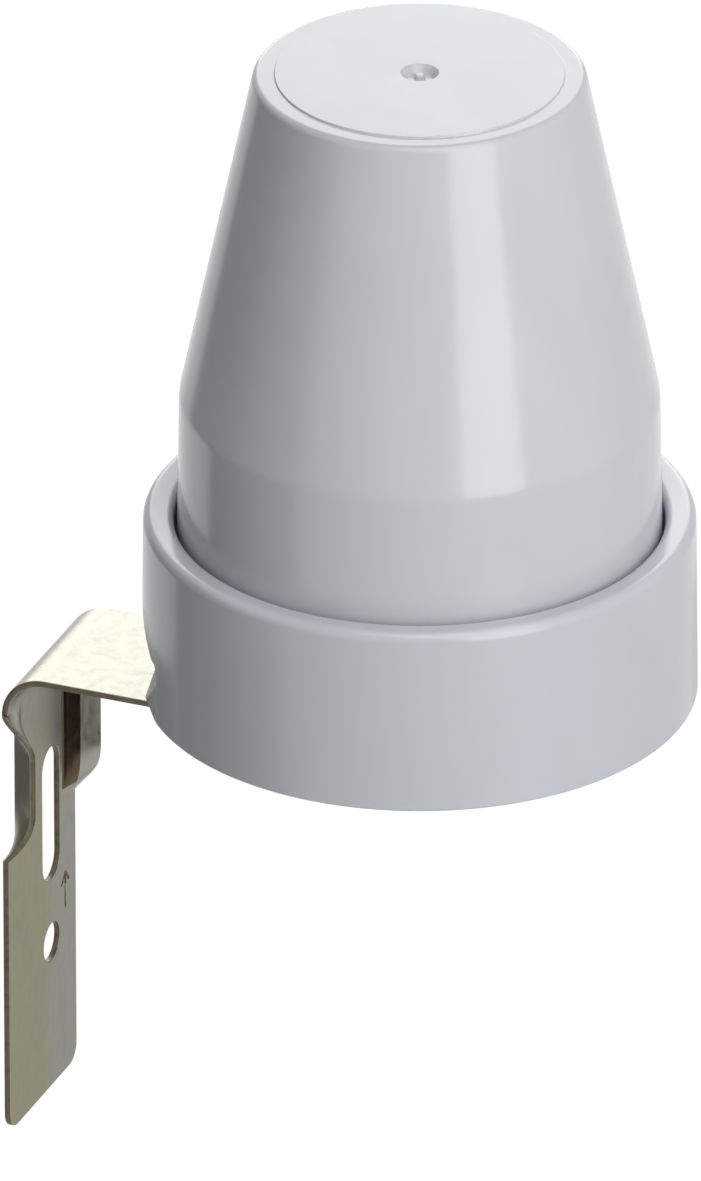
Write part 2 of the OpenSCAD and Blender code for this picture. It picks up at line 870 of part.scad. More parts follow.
module relay_base() {
    half = [relay_l / 2, relay_w / 2];
    color([0.12, 0.14, 0.22])
        on_board()
            translate([relay_place.x, relay_place.y, board_top])
                difference() {
                    linear_extrude(relay_base_t)
                        polygon(rounded_rect(-half, half, relay_base_t / 2));
                    for (s = relay_pin_shares)
                        translate([s.x * relay_l, s.y * relay_w, -cut])
                            cylinder(r = pin_r + lead_gap, h = relay_base_t + 2 * cut, $fn = wire_fn);
                }
}

module relay_case() {
    half = [relay_l / 2, relay_w / 2];
    top_half = half - [relay_base_t / 2, relay_base_t / 2];
    color([0.10, 0.22, 0.50])
        on_board()
            translate([relay_place.x, relay_place.y, board_top + relay_base_t])
                union() {
                    linear_extrude(relay_h - relay_base_t / 2)
                        polygon(rounded_rect(-half, half, relay_base_t / 2));
                    linear_extrude(relay_h)
                        polygon(rounded_rect(-top_half, top_half, relay_base_t / 2));
                }
}

module relay_pins() {
    color([0.85, 0.80, 0.66])
        on_board()
            straight_leads(relay_pin_places, board_top + relay_base_t);
}

// Capacitors

module film_capacitor() {
    place = at_board(film_share);
    half = [film_l / 2, film_w / 2];
    color([0.78, 0.62, 0.16])
        on_board()
            translate([place.x, place.y, board_top])
                linear_extrude(film_h)
                    polygon(rounded_rect(-half, half, film_w / 12));
}

module film_capacitor_leads() {
    color([0.80, 0.80, 0.80])
        on_board()
            straight_leads(film_leads, board_top);
}

module electrolytic_capacitor() {
    place = at_board(can_share);
    can_r = can_d / 2;
    groove_z = can_h * can_groove_rise_share;
    color([0.12, 0.13, 0.20])
        on_board()
            translate([place.x, place.y, board_top])
                rotate_extrude()
                    polygon(rounded([
                        [0, 0, 0],
                        [can_r, 0, can_r / 8],
                        [can_r, groove_z - can_r / 4, can_r / 10],
                        [can_r * can_groove_share, groove_z, can_r / 8],
                        [can_r, groove_z + can_r / 4, can_r / 10],
                        [can_r, can_h, can_r / 8],
                        [0, can_h, 0]
                    ]));
}

module electrolytic_leads() {
    color([0.80, 0.80, 0.80])
        on_board()
            straight_leads(can_leads, board_top);
}

// Varistor, a coated disc that stands on edge

module varistor() {
    place = at_board(varistor_share);
    varistor_r = varistor_d / 2;
    color([0.10, 0.30, 0.62])
        on_board()
            translate([place.x, place.y, board_top + varistor_r + body_rise])
                rotate([90, 0, 0])
                    translate([0, 0, -varistor_t / 2])
                        rotate_extrude()
                            polygon(rounded([
                                [0, 0, 0],
                                [varistor_r, 0, varistor_t / 3],
                                [varistor_r, varistor_t, varistor_t / 3],
                                [0, varistor_t, 0]
                            ]));
}

// Leads stop at the disc's curved edge, where a flat end just clears it
module varistor_leads() {
    varistor_r = varistor_d / 2;
    inner = varistor_pitch / 2 - wire_r;
    rise = varistor_r - sqrt(varistor_r * varistor_r - inner * inner);
    color([0.80, 0.80, 0.80])
        on_board()
            straight_leads(varistor_lead_places, board_top + body_rise + rise);
}

// Axial parts, lying on the board

// A body with round end caps and a narrower waist between them
module axial_body(share, a, d, l, waist_share) {
    place = at_board(share);
    edge = d / 8;
    translate([place.x, place.y, board_top + body_rise + d / 2])
        rotate([0, 90, a])
            translate([0, 0, -l / 2])
                rotate_extrude()
                    polygon(rounded([
                        [0, 0, 0],
                        [d / 2, 0, edge],
                        [d / 2, l * end_cap_share, edge],
                        [d / 2 * waist_share, l * waist_start_share, edge],
                        [d / 2 * waist_share, l * (1 - waist_start_share), edge],
                        [d / 2, l * (1 - end_cap_share), edge],
                        [d / 2, l, edge],
                        [0, l, 0]
                    ]));
}

module plain_axial_body(share, a, d, l) {
    place = at_board(share);
    translate([place.x, place.y, board_top + body_rise + d / 2])
        rotate([0, 90, a])
            translate([0, 0, -l / 2])
                rotate_extrude()
                    polygon(rounded([[0, 0, 0], [d / 2, 0, d / 10], [d / 2, l, d / 10], [0, l, 0]]));
}

// The two bent leads of an axial part
module bent_leads(share, a, d, l, pitch) {
    place = at_board(share);
    level = board_top + body_rise + d / 2;
    for (side = [0, 180])
        translate([place.x, place.y, 0])
            rotate(a + side)
                union() {
                    translate([l / 2, 0, level])
                        rotate([0, 90, 0])
                            cylinder(r = wire_r, h = pitch / 2 - lead_bend_r - l / 2, $fn = wire_fn);
                    translate([pitch / 2 - lead_bend_r, 0, level - lead_bend_r])
                        rotate([90, 0, 0])
                            rotate_extrude(angle = 90)
                                translate([lead_bend_r, 0])
                                    circle(r = wire_r, $fn = wire_fn);
                    translate([pitch / 2, 0, board_z])
                        cylinder(r = wire_r, h = level - lead_bend_r - board_z, $fn = wire_fn);
                }
}

module rectifier_diodes() {
    color([0.10, 0.10, 0.11])
        on_board()
            for (s = diode_shares)
                plain_axial_body(s, 0, diode_d, diode_l);
}

module zener_diode() {
    color([0.62, 0.30, 0.12])
        on_board()
            plain_axial_body(zener_share, 0, resistor_d, diode_l);
}

module resistors() {
    color([0.84, 0.74, 0.54])
        on_board()
            for (s = resistor_shares)
                axial_body(s, s[2], resistor_d, resistor_l, resistor_waist_share);
}

module power_resistor() {
    color([0.45, 0.52, 0.56])
        on_board()
            axial_body(power_share, 0, power_d, power_l, power_waist_share);
}

module axial_leads() {
    color([0.80, 0.80, 0.80])
        on_board()
            union() {
                for (s = diode_shares)
                    bent_leads(s, 0, diode_d, diode_l, axial_pitch);
                bent_leads(zener_share, 0, resistor_d, diode_l, axial_pitch);
                for (s = resistor_shares)
                    bent_leads(s, s[2], resistor_d, resistor_l, resistor_pitch);
                bent_leads(power_share, 0, power_d, power_l, power_pitch);
            }
}

// Transistors, round with one flat side

module transistors() {
    color([0.10, 0.10, 0.11])
        on_board()
            for (s = transistor_shares)
                translate([at_board(s).x, at_board(s).y, board_top + transistor_rise])
                    difference() {
                        cylinder(d = transistor_d, h = transistor_h);
                        translate([-transistor_d, -(1 + transistor_flat_share) * transistor_d, -cut])
                            cube([2 * transistor_d, transistor_d, transistor_h + 2 * cut]);
                    }
}

module transistor_leads() {
    color([0.80, 0.80, 0.80])
        on_board()
            straight_leads(transistor_lead_places, board_top + transistor_rise);
}

// Photocell on its tower

module photocell_tower() {
    place = at_board(tower_share);
    waist_r = tower_d / 2 * tower_waist_share;
    color([0.90, 0.90, 0.88])
        on_board()
            translate([place.x, place.y, board_top])
                difference() {
                    rotate_extrude()
                        polygon(rounded([
                            [0, 0, 0],
                            [tower_d / 2, 0, 0],
                            [tower_d / 2, tower_foot_h, 0],
                            [waist_r, tower_foot_h * tower_taper_share, 0],
                            [waist_r, tower_h - tower_foot_h, 0],
                            [photocell_d / 2, tower_h - tower_foot_h / 2, 0],
                            [photocell_d / 2, tower_h, 0],
                            [0, tower_h, 0]
                        ]));
                    for (side = [-1, 1])
                        translate([side * photocell_pitch / 2, 0, -cut])
                            cylinder(r = thin_wire_r + lead_gap, h = tower_h + 2 * cut, $fn = wire_fn);
                }
}

module photocell() {
    place = at_board(tower_share);
    color([0.86, 0.60, 0.42])
        on_board()
            translate([place.x, place.y, board_top + tower_h])
                rotate_extrude()
                    polygon(rounded([
                        [0, 0, 0],
                        [photocell_d / 2, 0, photocell_t / 6],
                        [photocell_d / 2, photocell_t, photocell_t / 4],
                        [0, photocell_t, 0]
                    ]));
}

module photocell_leads() {
    color([0.80, 0.80, 0.80])
        on_board()
            straight_leads(photocell_lead_places, board_top + tower_h);
}

// Solder under the board, one joint for each lead
module solder_joints() {
    color([0.72, 0.73, 0.75])
        on_board()
            for (p = all_leads)
                translate([p.x, p.y, board_z - solder_h])
                    cylinder(
                        r1 = p[2] * solder_tip_share,
                        r2 = p[2] * solder_spread_share,
                        h = solder_h,
                        $fn = wire_fn
                    );
}

cap();
seal_ring();
base();
cable_grommet();
wall_bracket();
friction_pad();
pivot_screw();
pivot_nut();
flat_washer();
spring_washer();
circuit_board();
board_screws();
wire_eyelets();
relay_case();
relay_base();
relay_pins();
film_capacitor();
film_capacitor_leads();
electrolytic_capacitor();
electrolytic_leads();
varistor();
varistor_leads();
rectifier_diodes();
zener_diode();
resistors();
power_resistor();
axial_leads();
transistors();
transistor_leads();
photocell();
photocell_leads();
photocell_tower();
solder_joints();
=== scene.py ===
"""Looks of an outdoor light sensor: a conical cap on a round base, on a bracket of pressed steel."""

import logging
import math
from collections.abc import Callable, Sequence
from dataclasses import dataclass, field
from enum import Enum
from typing import ClassVar

import bmesh
import bpy
import numpy as np
from mathutils import Matrix, Vector


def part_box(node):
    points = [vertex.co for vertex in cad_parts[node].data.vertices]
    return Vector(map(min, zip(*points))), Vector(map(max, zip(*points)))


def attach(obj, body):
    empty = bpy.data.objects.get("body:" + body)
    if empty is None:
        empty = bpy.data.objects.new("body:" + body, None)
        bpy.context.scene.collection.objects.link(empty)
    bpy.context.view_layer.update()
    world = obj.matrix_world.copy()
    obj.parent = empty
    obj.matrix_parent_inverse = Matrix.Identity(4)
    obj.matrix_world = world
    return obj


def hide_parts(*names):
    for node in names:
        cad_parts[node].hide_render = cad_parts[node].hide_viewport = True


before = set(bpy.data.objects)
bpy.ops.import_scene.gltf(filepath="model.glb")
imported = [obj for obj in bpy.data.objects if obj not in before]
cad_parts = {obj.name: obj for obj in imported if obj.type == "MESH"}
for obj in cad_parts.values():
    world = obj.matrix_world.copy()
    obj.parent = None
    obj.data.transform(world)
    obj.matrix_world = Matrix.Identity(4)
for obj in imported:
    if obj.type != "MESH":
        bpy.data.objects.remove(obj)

LOG = logging.getLogger("light_sensor")
MM = 0.001
AXIS_LIMIT = 1e-7  # a radius or a gap that counts as nothing
SLACK = 1e-6  # tolerance at the ends of a span
SAME_POINT = 0.01 * MM  # corners nearer than this are one
WELD_GAP = 0.001 * MM  # the same when a mesh is welded
FACING = 0.99  # share of a normal along an axis that counts as facing that way
NEARLY_ALONG = 0.95  # share of a direction along an axis that is too near it
STEPS_PER_PITCH = 8
CUT_EDGE_SLOPE = 0.6  # a normal more level than this belongs to the sheet's cut edge
STAMPED_SHARE = 0.4  # share of the stamp's depth from which a face counts as stamped
SQUARE = ((-1, -1), (1, -1), (1, 1), (-1, 1))
WHITE = (1, 1, 1)

Colour = tuple[float, float, float]
Corner = tuple[float, float, float]
Stretch = tuple[float, float, float]
Point = tuple[float, float]
Piece = bpy.types.Object
Material = bpy.types.Material
Socket = bpy.types.NodeSocket


class Cut(Enum):
    """How one solid works on another."""

    REMOVE = "DIFFERENCE"
    ADD = "UNION"
    KEEP = "INTERSECT"


class Body(Enum):
    """The rigid bodies of the sensor."""

    BRACKET = "bracket"
    HOUSING = "housing"
    CAP = "cap"


def srgb(red: float, green: float, blue: float) -> Colour:
    """Turn a colour as seen on a screen into scene light.

    Args:
        red: Red from 0 to 255.
        green: Green from 0 to 255.
        blue: Blue from 0 to 255.

    Returns:
        The same colour in linear light, each channel from 0 to 1.
    """
    def linear(value: float) -> float:
        """Turn one channel, by the curve that screens follow."""
        share = value / 255
        return share / 12.92 if share <= 0.04045 else ((share + 0.055) / 1.055) ** 2.4
    return linear(red), linear(green), linear(blue)


# Places, taken from the frame


@dataclass(frozen=True)
class Box:
    """The space that a piece fills, in the row frame."""

    lo: Vector  # lowest corner
    hi: Vector  # highest corner

    @property
    def centre(self) -> Vector:
        """Middle of the box."""
        return (self.lo + self.hi) / 2

    @property
    def size(self) -> Vector:
        """Length of each side."""
        return self.hi - self.lo

    @property
    def foot(self) -> Vector:
        """Middle of the box's underside."""
        return self.at(self.lo.z)

    def at(self, height: float) -> Vector:
        """Point at a height on the box's upright middle line."""
        return Vector((self.centre.x, self.centre.y, height))


def node_box(node: str) -> Box:
    """Space of one CAD node at rest."""
    return Box(*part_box(node))


def solid_boxes(node: str) -> list[Box]:
    """Space of each separate solid in a CAD node.

    Args:
        node: Name of the node.

    Returns:
        One box for each solid, in order of their middles.
    """
    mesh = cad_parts[node].data
    points = np.array([v.co for v in mesh.vertices], float).reshape(-1, 3)
    _, first = np.unique(np.round(points / SAME_POINT).astype(int), axis=0, return_inverse=True)
    first = first.reshape(-1)
    root = list(range(int(first.max()) + 1))

    def find(i: int) -> int:
        """Give the point that stands for a point's solid.

        Args:
            i: The point.

        Returns:
            The number of the other.
        """
        while root[i] != i:
            root[i] = root[root[i]]
            i = root[i]
        return i

    for polygon in mesh.polygons:
        corners = [int(first[v]) for v in polygon.vertices]
        for other in corners[1:]:
            root[find(other)] = find(corners[0])
    groups: dict[int, list[int]] = {}
    for vertex, merged in enumerate(first):
        groups.setdefault(find(int(merged)), []).append(vertex)
    boxes = [Box(Vector(points[g].min(0)), Vector(points[g].max(0))) for g in groups.values()]
    return sorted(boxes, key=lambda box: tuple(round(c, 5) for c in box.centre))


# Outlines and meshes


def rounded(corners: Sequence[Corner], steps: int = 8) -> list[Point]:
    """Outline through corners, each drawn as an arc.

    Args:
        corners: Corners as (x, y, radius). A radius of 0 keeps the corner sharp.
        steps: Flat steps of each arc.

    Returns:
        Points of the outline, in order.
    """
    points: list[Point] = []
    for i, (x, y, radius) in enumerate(corners):
        if radius <= 0:
            points.append((x, y))
            continue
        here = Vector((x, y))
        before = (Vector(corners[i - 1][:2]) - here).normalized()
        after = (Vector(corners[(i + 1) % len(corners)][:2]) - here).normalized()
        half = before.angle(after) / 2
        middle = here + (before + after).normalized() * radius / math.sin(half)
        start = here + before * radius / math.tan(half) - middle
        end = here + after * radius / math.tan(half) - middle
        turn = math.atan2(start.x * end.y - start.y * end.x, start.dot(end))
        for share in shares(steps):
            a = turn * share
            points.append((middle.x + start.x * math.cos(a) - start.y * math.sin(a),
                           middle.y + start.x * math.sin(a) + start.y * math.cos(a)))
    return points


def circle(radius: float, steps: int, centre: Point = (0, 0)) -> list[Point]:
    """Points of a circle."""
    return [(centre[0] + radius * math.cos(math.tau * i / steps),
             centre[1] + radius * math.sin(math.tau * i / steps)) for i in range(steps)]


def shares(steps: int) -> list[float]:
    """Give the shares from 0 to 1 in even steps."""
    return [i / steps for i in range(steps + 1)]


def rectangle(lo: Vector, hi: Vector, corner: float, out: float = 0, steps: int = 6) -> list[Point]:
    """Outline of a rectangle with rounded corners."""
    x0, y0, x1, y1 = lo.x - out, lo.y - out, hi.x + out, hi.y + out
    return rounded([(x0, y0, corner), (x1, y0, corner), (x1, y1, corner), (x0, y1, corner)], steps)


def smooth(share: float) -> float:
    """Ease a share in and out."""
    share = max(0.0, min(1.0, share))
    return share * share * (3 - 2 * share)


def shade(piece: Piece, crease_deg: float = 32) -> Piece:
    """Shade a mesh smooth, apart from its creases.

    Args:
        piece: The piece.
        crease_deg: Angle past which an edge stays sharp.

    Returns:
        The same piece.
    """
    piece.data.shade_smooth()
    piece.data.set_sharp_from_angle(angle=math.radians(crease_deg))
    return piece


def weigh_normals(piece: Piece) -> Piece:
    """Keep large flat faces flat beside their rounded edges.

    Args:
        piece: The piece.

    Returns:
        The same piece.
    """
    modifier = piece.modifiers.new("flat_faces", "WEIGHTED_NORMAL")
    modifier.weight = 50
    modifier.keep_sharp = True
    return piece


def link(name: str, data: bpy.types.ID) -> Piece:
    """Put new data into the scene.

    Args:
        name: Name of its object.
        data: A mesh, curve, lamp or camera.

    Returns:
        The object.
    """
    piece = bpy.data.objects.new(name, data)
    bpy.context.scene.collection.objects.link(piece)
    return piece


def mesh_object(name: str, points: Sequence[Sequence[float]], faces: Sequence[Sequence[int]]) -> Piece:
    """Make a piece from points and faces, with its faces turned outwards.

    Args:
        name: Name of the piece.
        points: Its points in the row frame.
        faces: Its faces, as point numbers.

    Returns:
        The new piece.
    """
    mesh = bpy.data.meshes.new(name)
    mesh.from_pydata([tuple(p) for p in points], [], [tuple(f) for f in faces])
    edit = bmesh.new()
    edit.from_mesh(mesh)
    bmesh.ops.recalc_face_normals(edit, faces=edit.faces)
    edit.to_mesh(mesh)
    edit.free()
    return link(name, mesh)


def stack_rings(rings: Sequence[Sequence[int]], closed: bool) -> list[list[int]]:
    """Faces between neighbouring rings of points.

    Args:
        rings: Point numbers of each ring. A ring may be one point repeated.
        closed: Whether the last ring joins the first.

    Returns:
        Quads, or triangles where a ring is one point.
    """
    faces = []
    for k in range(len(rings) if closed else len(rings) - 1):
        lower, upper = rings[k], rings[(k + 1) % len(rings)]
        for j in range(len(lower)):
            n = (j + 1) % len(lower)
            face = list(dict.fromkeys([lower[j], lower[n], upper[n], upper[j]]))
            if len(face) > 2:
                faces.append(face)
    return faces


def skin(name: str, rings: Sequence[Sequence[Vector]], closed: bool = False) -> Piece:
    """Join rings of points into a closed mesh.

    Args:
        name: Name of the piece.
        rings: The rings, with as many points each.
        closed: Whether the last ring joins the first. Otherwise both get a face.

    Returns:
        The new piece.
    """
    count = len(rings[0])
    numbers = [list(range(k * count, (k + 1) * count)) for k in range(len(rings))]
    ends = [] if closed else [numbers[0], numbers[-1]]
    return mesh_object(name, [p for ring in rings for p in ring], stack_rings(numbers, closed) + ends)


def lathe(
    name: str, outline: Sequence[Point], centre: Vector, segments: int = 96, turn: Matrix | None = None
) -> Piece:
    """Turn an outline round an axis into a closed solid.

    Args:
        name: Name of the piece.
        outline: Points (radius, height), in order round the section.
        centre: Where the axis stands at height 0.
        segments: Steps round the axis.
        turn: Rotation of the axis, which stands upright by default.

    Returns:
        The new piece.
    """
    points: list[Vector] = []
    rings: list[list[int]] = []
    for radius, height in outline:
        if radius < AXIS_LIMIT:
            rings.append([len(points)] * segments)
            points.append(Vector((0, 0, height)))
            continue
        rings.append(list(range(len(points), len(points) + segments)))
        points += [Vector((x, y, height)) for x, y in circle(radius, segments)]
    closed = outline[0][0] >= AXIS_LIMIT or outline[-1][0] >= AXIS_LIMIT
    rotation = turn or Matrix.Identity(3)
    return mesh_object(name, [centre + rotation @ p for p in points], stack_rings(rings, closed))


def drum(
    name: str, foot: Vector, radius: float, low: float, high: float,
    soft: Point = (0, 0), segments: int = 64, steps: int = 4,
) -> Piece:
    """Turn an upright cylinder."""
    section = [(0, low, 0), (radius, low, soft[0]), (radius, high, soft[1]), (0, high, 0)]
    return lathe(name, rounded(section, steps), foot, segments)


def prism(name: str, outline: Sequence[Point], low: float, high: float) -> Piece:
    """Raise a flat outline into an upright prism."""
    return skin(name, [[Vector((x, y, z)) for x, y in outline] for z in (low, high)])


def block(name: str, lo: Vector, hi: Vector, corner: float) -> Piece:
    """An upright block with rounded corners."""
    return prism(name, rectangle(lo, hi, corner), lo.z, hi.z)


def frame_band(
    name: str, outer: Sequence[Point], inner: Sequence[Point], low: float, high: float
) -> Piece:
    """Raise the band between two outlines."""
    loops = ((outer, low), (outer, high), (inner, high), (inner, low))
    return skin(name, [[Vector((x, y, z)) for x, y in loop] for loop, z in loops], True)


def strip_run(name: str, start: Vector, end: Vector, half: float, low: float, high: float) -> Piece:
    """Lay one straight run of a flat strip.

    Args:
        name: Name of the piece.
        start: Where it starts, (x, y).
        end: Where it ends, (x, y).
        half: Half its width.
        low: Height of its underside.
        high: Height of its top.

    Returns:
        The new piece.
    """
    along = (end - start).normalized()
    side = Vector((-along.y, along.x)) * half
    corners = (start - side, end - side, end + side, start + side)
    return prism(name, [(p.x, p.y) for p in corners], low, high)


def tube(
    name: str, path: Sequence[Vector], radius: float | Callable[[float], float], sides: int = 14
) -> Piece:
    """Sweep a round section along a path.

    Args:
        name: Name of the piece.
        path: Points of its middle line.
        radius: Its radius, or the radius at each share of the path.
        sides: Sides of the section.

    Returns:
        The new piece.
    """
    rings: list[list[Vector]] = []
    across = Vector((0, 0, 1))
    for i, place in enumerate(path):
        along = (path[min(i + 1, len(path) - 1)] - path[max(i - 1, 0)]).normalized()
        if abs(along.dot(across)) > NEARLY_ALONG:
            across = Vector((1, 0, 0)) if abs(along.x) < NEARLY_ALONG else Vector((0, 1, 0))
        across = (across - along * across.dot(along)).normalized()
        other = along.cross(across)
        size = radius(i / (len(path) - 1)) if callable(radius) else radius
        rings.append([place + across * x + other * y for x, y in circle(size, sides)])
    return skin(name, rings)


def threaded_rod(
    name: str, radius: float, depth: float, pitch: float, foot: Vector, length: float, segments: int = 32
) -> Piece:
    """An upright rod with a helical thread.

    Args:
        name: Name of the piece.
        radius: Radius over the thread's crests.
        depth: Depth of the thread.
        pitch: Rise of one turn.
        foot: Middle of its lower end.
        length: Its length.
        segments: Steps round it.

    Returns:
        The new piece.
    """
    steps = max(2, round(length / pitch * STEPS_PER_PITCH))
    rings: list[list[Vector]] = []
    for share in shares(steps):
        height = length * share
        run_out = min(1.0, height / pitch, (length - height) / pitch)
        ring = []
        for j in range(segments):
            phase = (height / pitch - j / segments) % 1
            size = radius - depth * (1 - run_out) - depth * run_out * abs(2 * phase - 1)
            turn = math.tau * j / segments
            ring.append(foot + Vector((size * math.cos(turn), size * math.sin(turn), height)))
        rings.append(ring)
    return skin(name, rings)


def finished_mesh(piece: Piece) -> bpy.types.Mesh:
    """Mesh of a piece as its modifiers make it."""
    bpy.context.view_layer.update()
    return bpy.data.meshes.new_from_object(piece.evaluated_get(bpy.context.evaluated_depsgraph_get()))


def settle(piece: Piece) -> None:
    """Make a piece's modifiers part of its mesh.

    Args:
        piece: The piece.
    """
    mesh = finished_mesh(piece)
    piece.modifiers.clear()
    piece.data = mesh


def carve(piece: Piece, tool: Piece, how: Cut = Cut.REMOVE) -> None:
    """Let one solid work on another.

    Args:
        piece: The solid that changes.
        tool: The solid that works on it, which is then gone.
        how: Whether the tool is removed, added or all that is kept.
    """
    modifier = piece.modifiers.new("carve", "BOOLEAN")
    modifier.object = tool
    modifier.operation = how.value
    modifier.solver = "EXACT"
    settle(piece)
    bpy.data.objects.remove(tool)


def soften(piece: Piece, width: float, angle_deg: float = 40, steps: int = 3) -> Piece:
    """Round a piece's sharp edges.

    Args:
        piece: The piece.
        width: Width of the rounding.
        angle_deg: Angle past which an edge is rounded.
        steps: Flat steps of the rounding.

    Returns:
        The same piece.
    """
    modifier = piece.modifiers.new("soften", "BEVEL")
    modifier.width = width
    modifier.segments = steps
    modifier.limit_method = "ANGLE"
    modifier.angle_limit = math.radians(angle_deg)
    settle(piece)
    return weigh_normals(shade(piece))


def merge(name: str, pieces: Sequence[Piece]) -> Piece:
    """Put several meshes into one piece.

    Args:
        name: Its name.
        pieces: The meshes, which are then gone.

    Returns:
        The new piece.
    """
    edit = bmesh.new()
    for part in pieces:
        edit.from_mesh(part.data)
    mesh = bpy.data.meshes.new(name)
    edit.to_mesh(mesh)
    edit.free()
    for part in pieces:
        bpy.data.objects.remove(part)
    return link(name, mesh)


def cut_cross(piece: Piece, face: Vector, span: float, width: float, depth: float) -> None:
    """Cut a cross recess into a face.

    Args:
        piece: The solid that is cut.
        face: Middle of the face.
        span: Length of the cross's arms, end to end.
        width: Width of its arms.
        depth: How far it goes in, upwards where it is above 0.
    """
    over = math.copysign(width / 2, depth)
    low, high = sorted((face.z - over, face.z + depth))
    for half in (Vector((span, width)) / 2, Vector((width, span)) / 2):
        arm = block("arm", Vector((face.x - half.x, face.y - half.y, low)),
                    Vector((face.x + half.x, face.y + half.y, high)), width * 0.2)
        carve(piece, arm)


def mark(piece: Piece, number: int) -> None:
    """Give all faces of a mesh one material slot."""
    for polygon in piece.data.polygons:
        polygon.material_index = number


# Finishes


@dataclass
class Wiring:
    """Adds nodes to one tree."""

    tree: bpy.types.NodeTree

    def fill(self, socket: Socket, value: object) -> None:
        """Link an input, or set its constant.

        Args:
            socket: The input.
            value: The output that leads to it, or a constant.
        """
        if isinstance(value, Socket):
            self.tree.links.new(value, socket)
        else:
            socket.default_value = (*value, 1) if socket.type == "RGBA" else value

    def node(self, kind: str, *values: object, **named: object) -> bpy.types.Node:
        """Add a node and fill its inputs.

        Args:
            kind: Blender's name of the node's type.
            values: An output or a constant for each of its first inputs.
            named: The same for inputs by name.

        Returns:
            The new node.
        """
        made = self.tree.nodes.new(kind)
        for key, value in [*enumerate(values), *named.items()]:
            self.fill(made.inputs[key], value)
        return made

    def output(self, kind: str, *values: object, **named: object) -> Socket:
        """Add a node and give its first output."""
        return self.node(kind, *values, **named).outputs[0]

    def calculate(self, operation: str, first: Socket, second: Socket) -> Socket:
        """Work out one value from two.

        Args:
            operation: Blender's name of the operation.
            first: The first value.
            second: The second value.

        Returns:
            The result.
        """
        made = self.node("ShaderNodeMath", first, second)
        made.operation = operation
        return made.outputs[0]

    def show(self, shader: Socket) -> None:
        """Lead a shader to the material's output."""
        self.fill(self.tree.nodes["Material Output"].inputs["Surface"], shader)


class Painter(Wiring):
    """Lays out the nodes of one material.

    Attributes:
        material: The material that is built.
        surface: Its main shader.
    """

    def __init__(self, name: str) -> None:
        """Start an empty material.

        Args:
            name: Name of the material.
        """
        self.material = bpy.data.materials.new(name)
        self.material.use_nodes = True
        super().__init__(self.material.node_tree)
        self.surface = self.tree.nodes["Principled BSDF"]

    def set(self, **values: float | Colour) -> None:
        """Set constants on the shader's own sockets."""
        for name, value in values.items():
            self.fill(self.surface.inputs[name.replace("_", " ").title().replace("Ior", "IOR")], value)

    def place(self, stretch: Stretch = (1, 1, 1)) -> Socket:
        """Coordinates of the piece, stretched along its axes."""
        source = self.node("ShaderNodeTexCoord").outputs["Object"]
        return self.node("ShaderNodeMapping", Vector=source, Scale=stretch).outputs["Vector"]

    def noise(
        self, size: float, detail: float = 3, stretch: Stretch = (1, 1, 1), warp: float = 0
    ) -> Socket:
        """Noise with features of a real size.

        Args:
            size: Size of its features in metres.
            detail: How many finer layers it has.
            stretch: Scale along X, Y and Z.
            warp: How much it swirls.

        Returns:
            The noise, from 0 to 1.
        """
        made = self.node("ShaderNodeTexNoise", Vector=self.place(stretch), Scale=1 / size,
                         Detail=detail, Roughness=0.55, Distortion=warp)
        return made.outputs["Fac"]

    def spread(
        self, source: Socket, low: float, high: float, start: float = 0.3, end: float = 0.7
    ) -> Socket:
        """Map a stretch of a value onto another range."""
        return self.output("ShaderNodeMapRange", source, start, end, low, high)

    def blend(self, share: Socket, first: Colour | Socket, second: Colour) -> Socket:
        """Mix two colours.

        Args:
            share: How much of the second colour shows.
            first: Colour, or the output of one.
            second: The other colour.

        Returns:
            The mixed colour.
        """
        made = self.node("ShaderNodeMix")
        made.data_type = "RGBA"
        for key, value in (("Factor", share), (6, first), (7, second)):
            self.fill(made.inputs[key], value)
        return made.outputs[2]

    def paint(self, socket: Socket, name: str) -> None:
        """Lead a value to the shader."""
        self.fill(self.surface.inputs[name], socket)

    def relief(self, *layers: tuple[Socket, float]) -> None:
        """Lay bumps over each other.

        Args:
            layers: Height sources, each with its real depth in metres.
        """
        below: dict[str, Socket] = {}
        for height, depth in layers:
            below = {"Normal": self.output("ShaderNodeBump", Height=height, Distance=depth, **below)}
        self.paint(below["Normal"], "Normal")


def darkened(colour: Colour, factor: float) -> Colour:
    """Give a colour times a factor."""
    return tuple(min(1, c * factor) for c in colour)


@dataclass(frozen=True)
class Finish:
    """What all finishes share."""

    name: str
    colour: Colour

    def build(self) -> Material:
        """Make the material.

        Returns:
            The material.
        """
        paint = Painter(self.name)
        paint.set(ior=1.5)
        self.lay(paint)
        return paint.material

    def lay(self, paint: Painter) -> None:
        """Lay the finish's own nodes, which each kind does in its way."""
        raise NotImplementedError


@dataclass(frozen=True)
class MouldedPlastic(Finish):
    """Injection-moulded plastic with a slight flow pattern and a skin of fine relief."""

    roughness: float = 0.2
    flow: float = 0.03  # how much its shade drifts
    skin: float = 0.003 * MM  # depth of its fine relief
    skin_size: float = 0.5 * MM  # size of the relief's features

    def lay(self, paint: Painter) -> None:
        """Lay the flow pattern, the dull patches and the skin.

        Args:
            paint: The material to paint.
        """
        drift = paint.noise(16 * MM, 2, (1, 1, 0.35), 0.6)
        darker, lighter = darkened(self.colour, 1 - self.flow), darkened(self.colour, 1 + self.flow)
        paint.paint(paint.blend(paint.spread(drift, 0, 1), darker, lighter), "Base Color")
        dull = paint.noise(3 * MM, 3)
        paint.paint(paint.spread(dull, self.roughness * 0.92, self.roughness * 1.1), "Roughness")
        paint.relief((paint.noise(9 * MM, 1, (1, 1, 0.4)), self.skin * 5),
                     (paint.noise(self.skin_size, 2), self.skin))


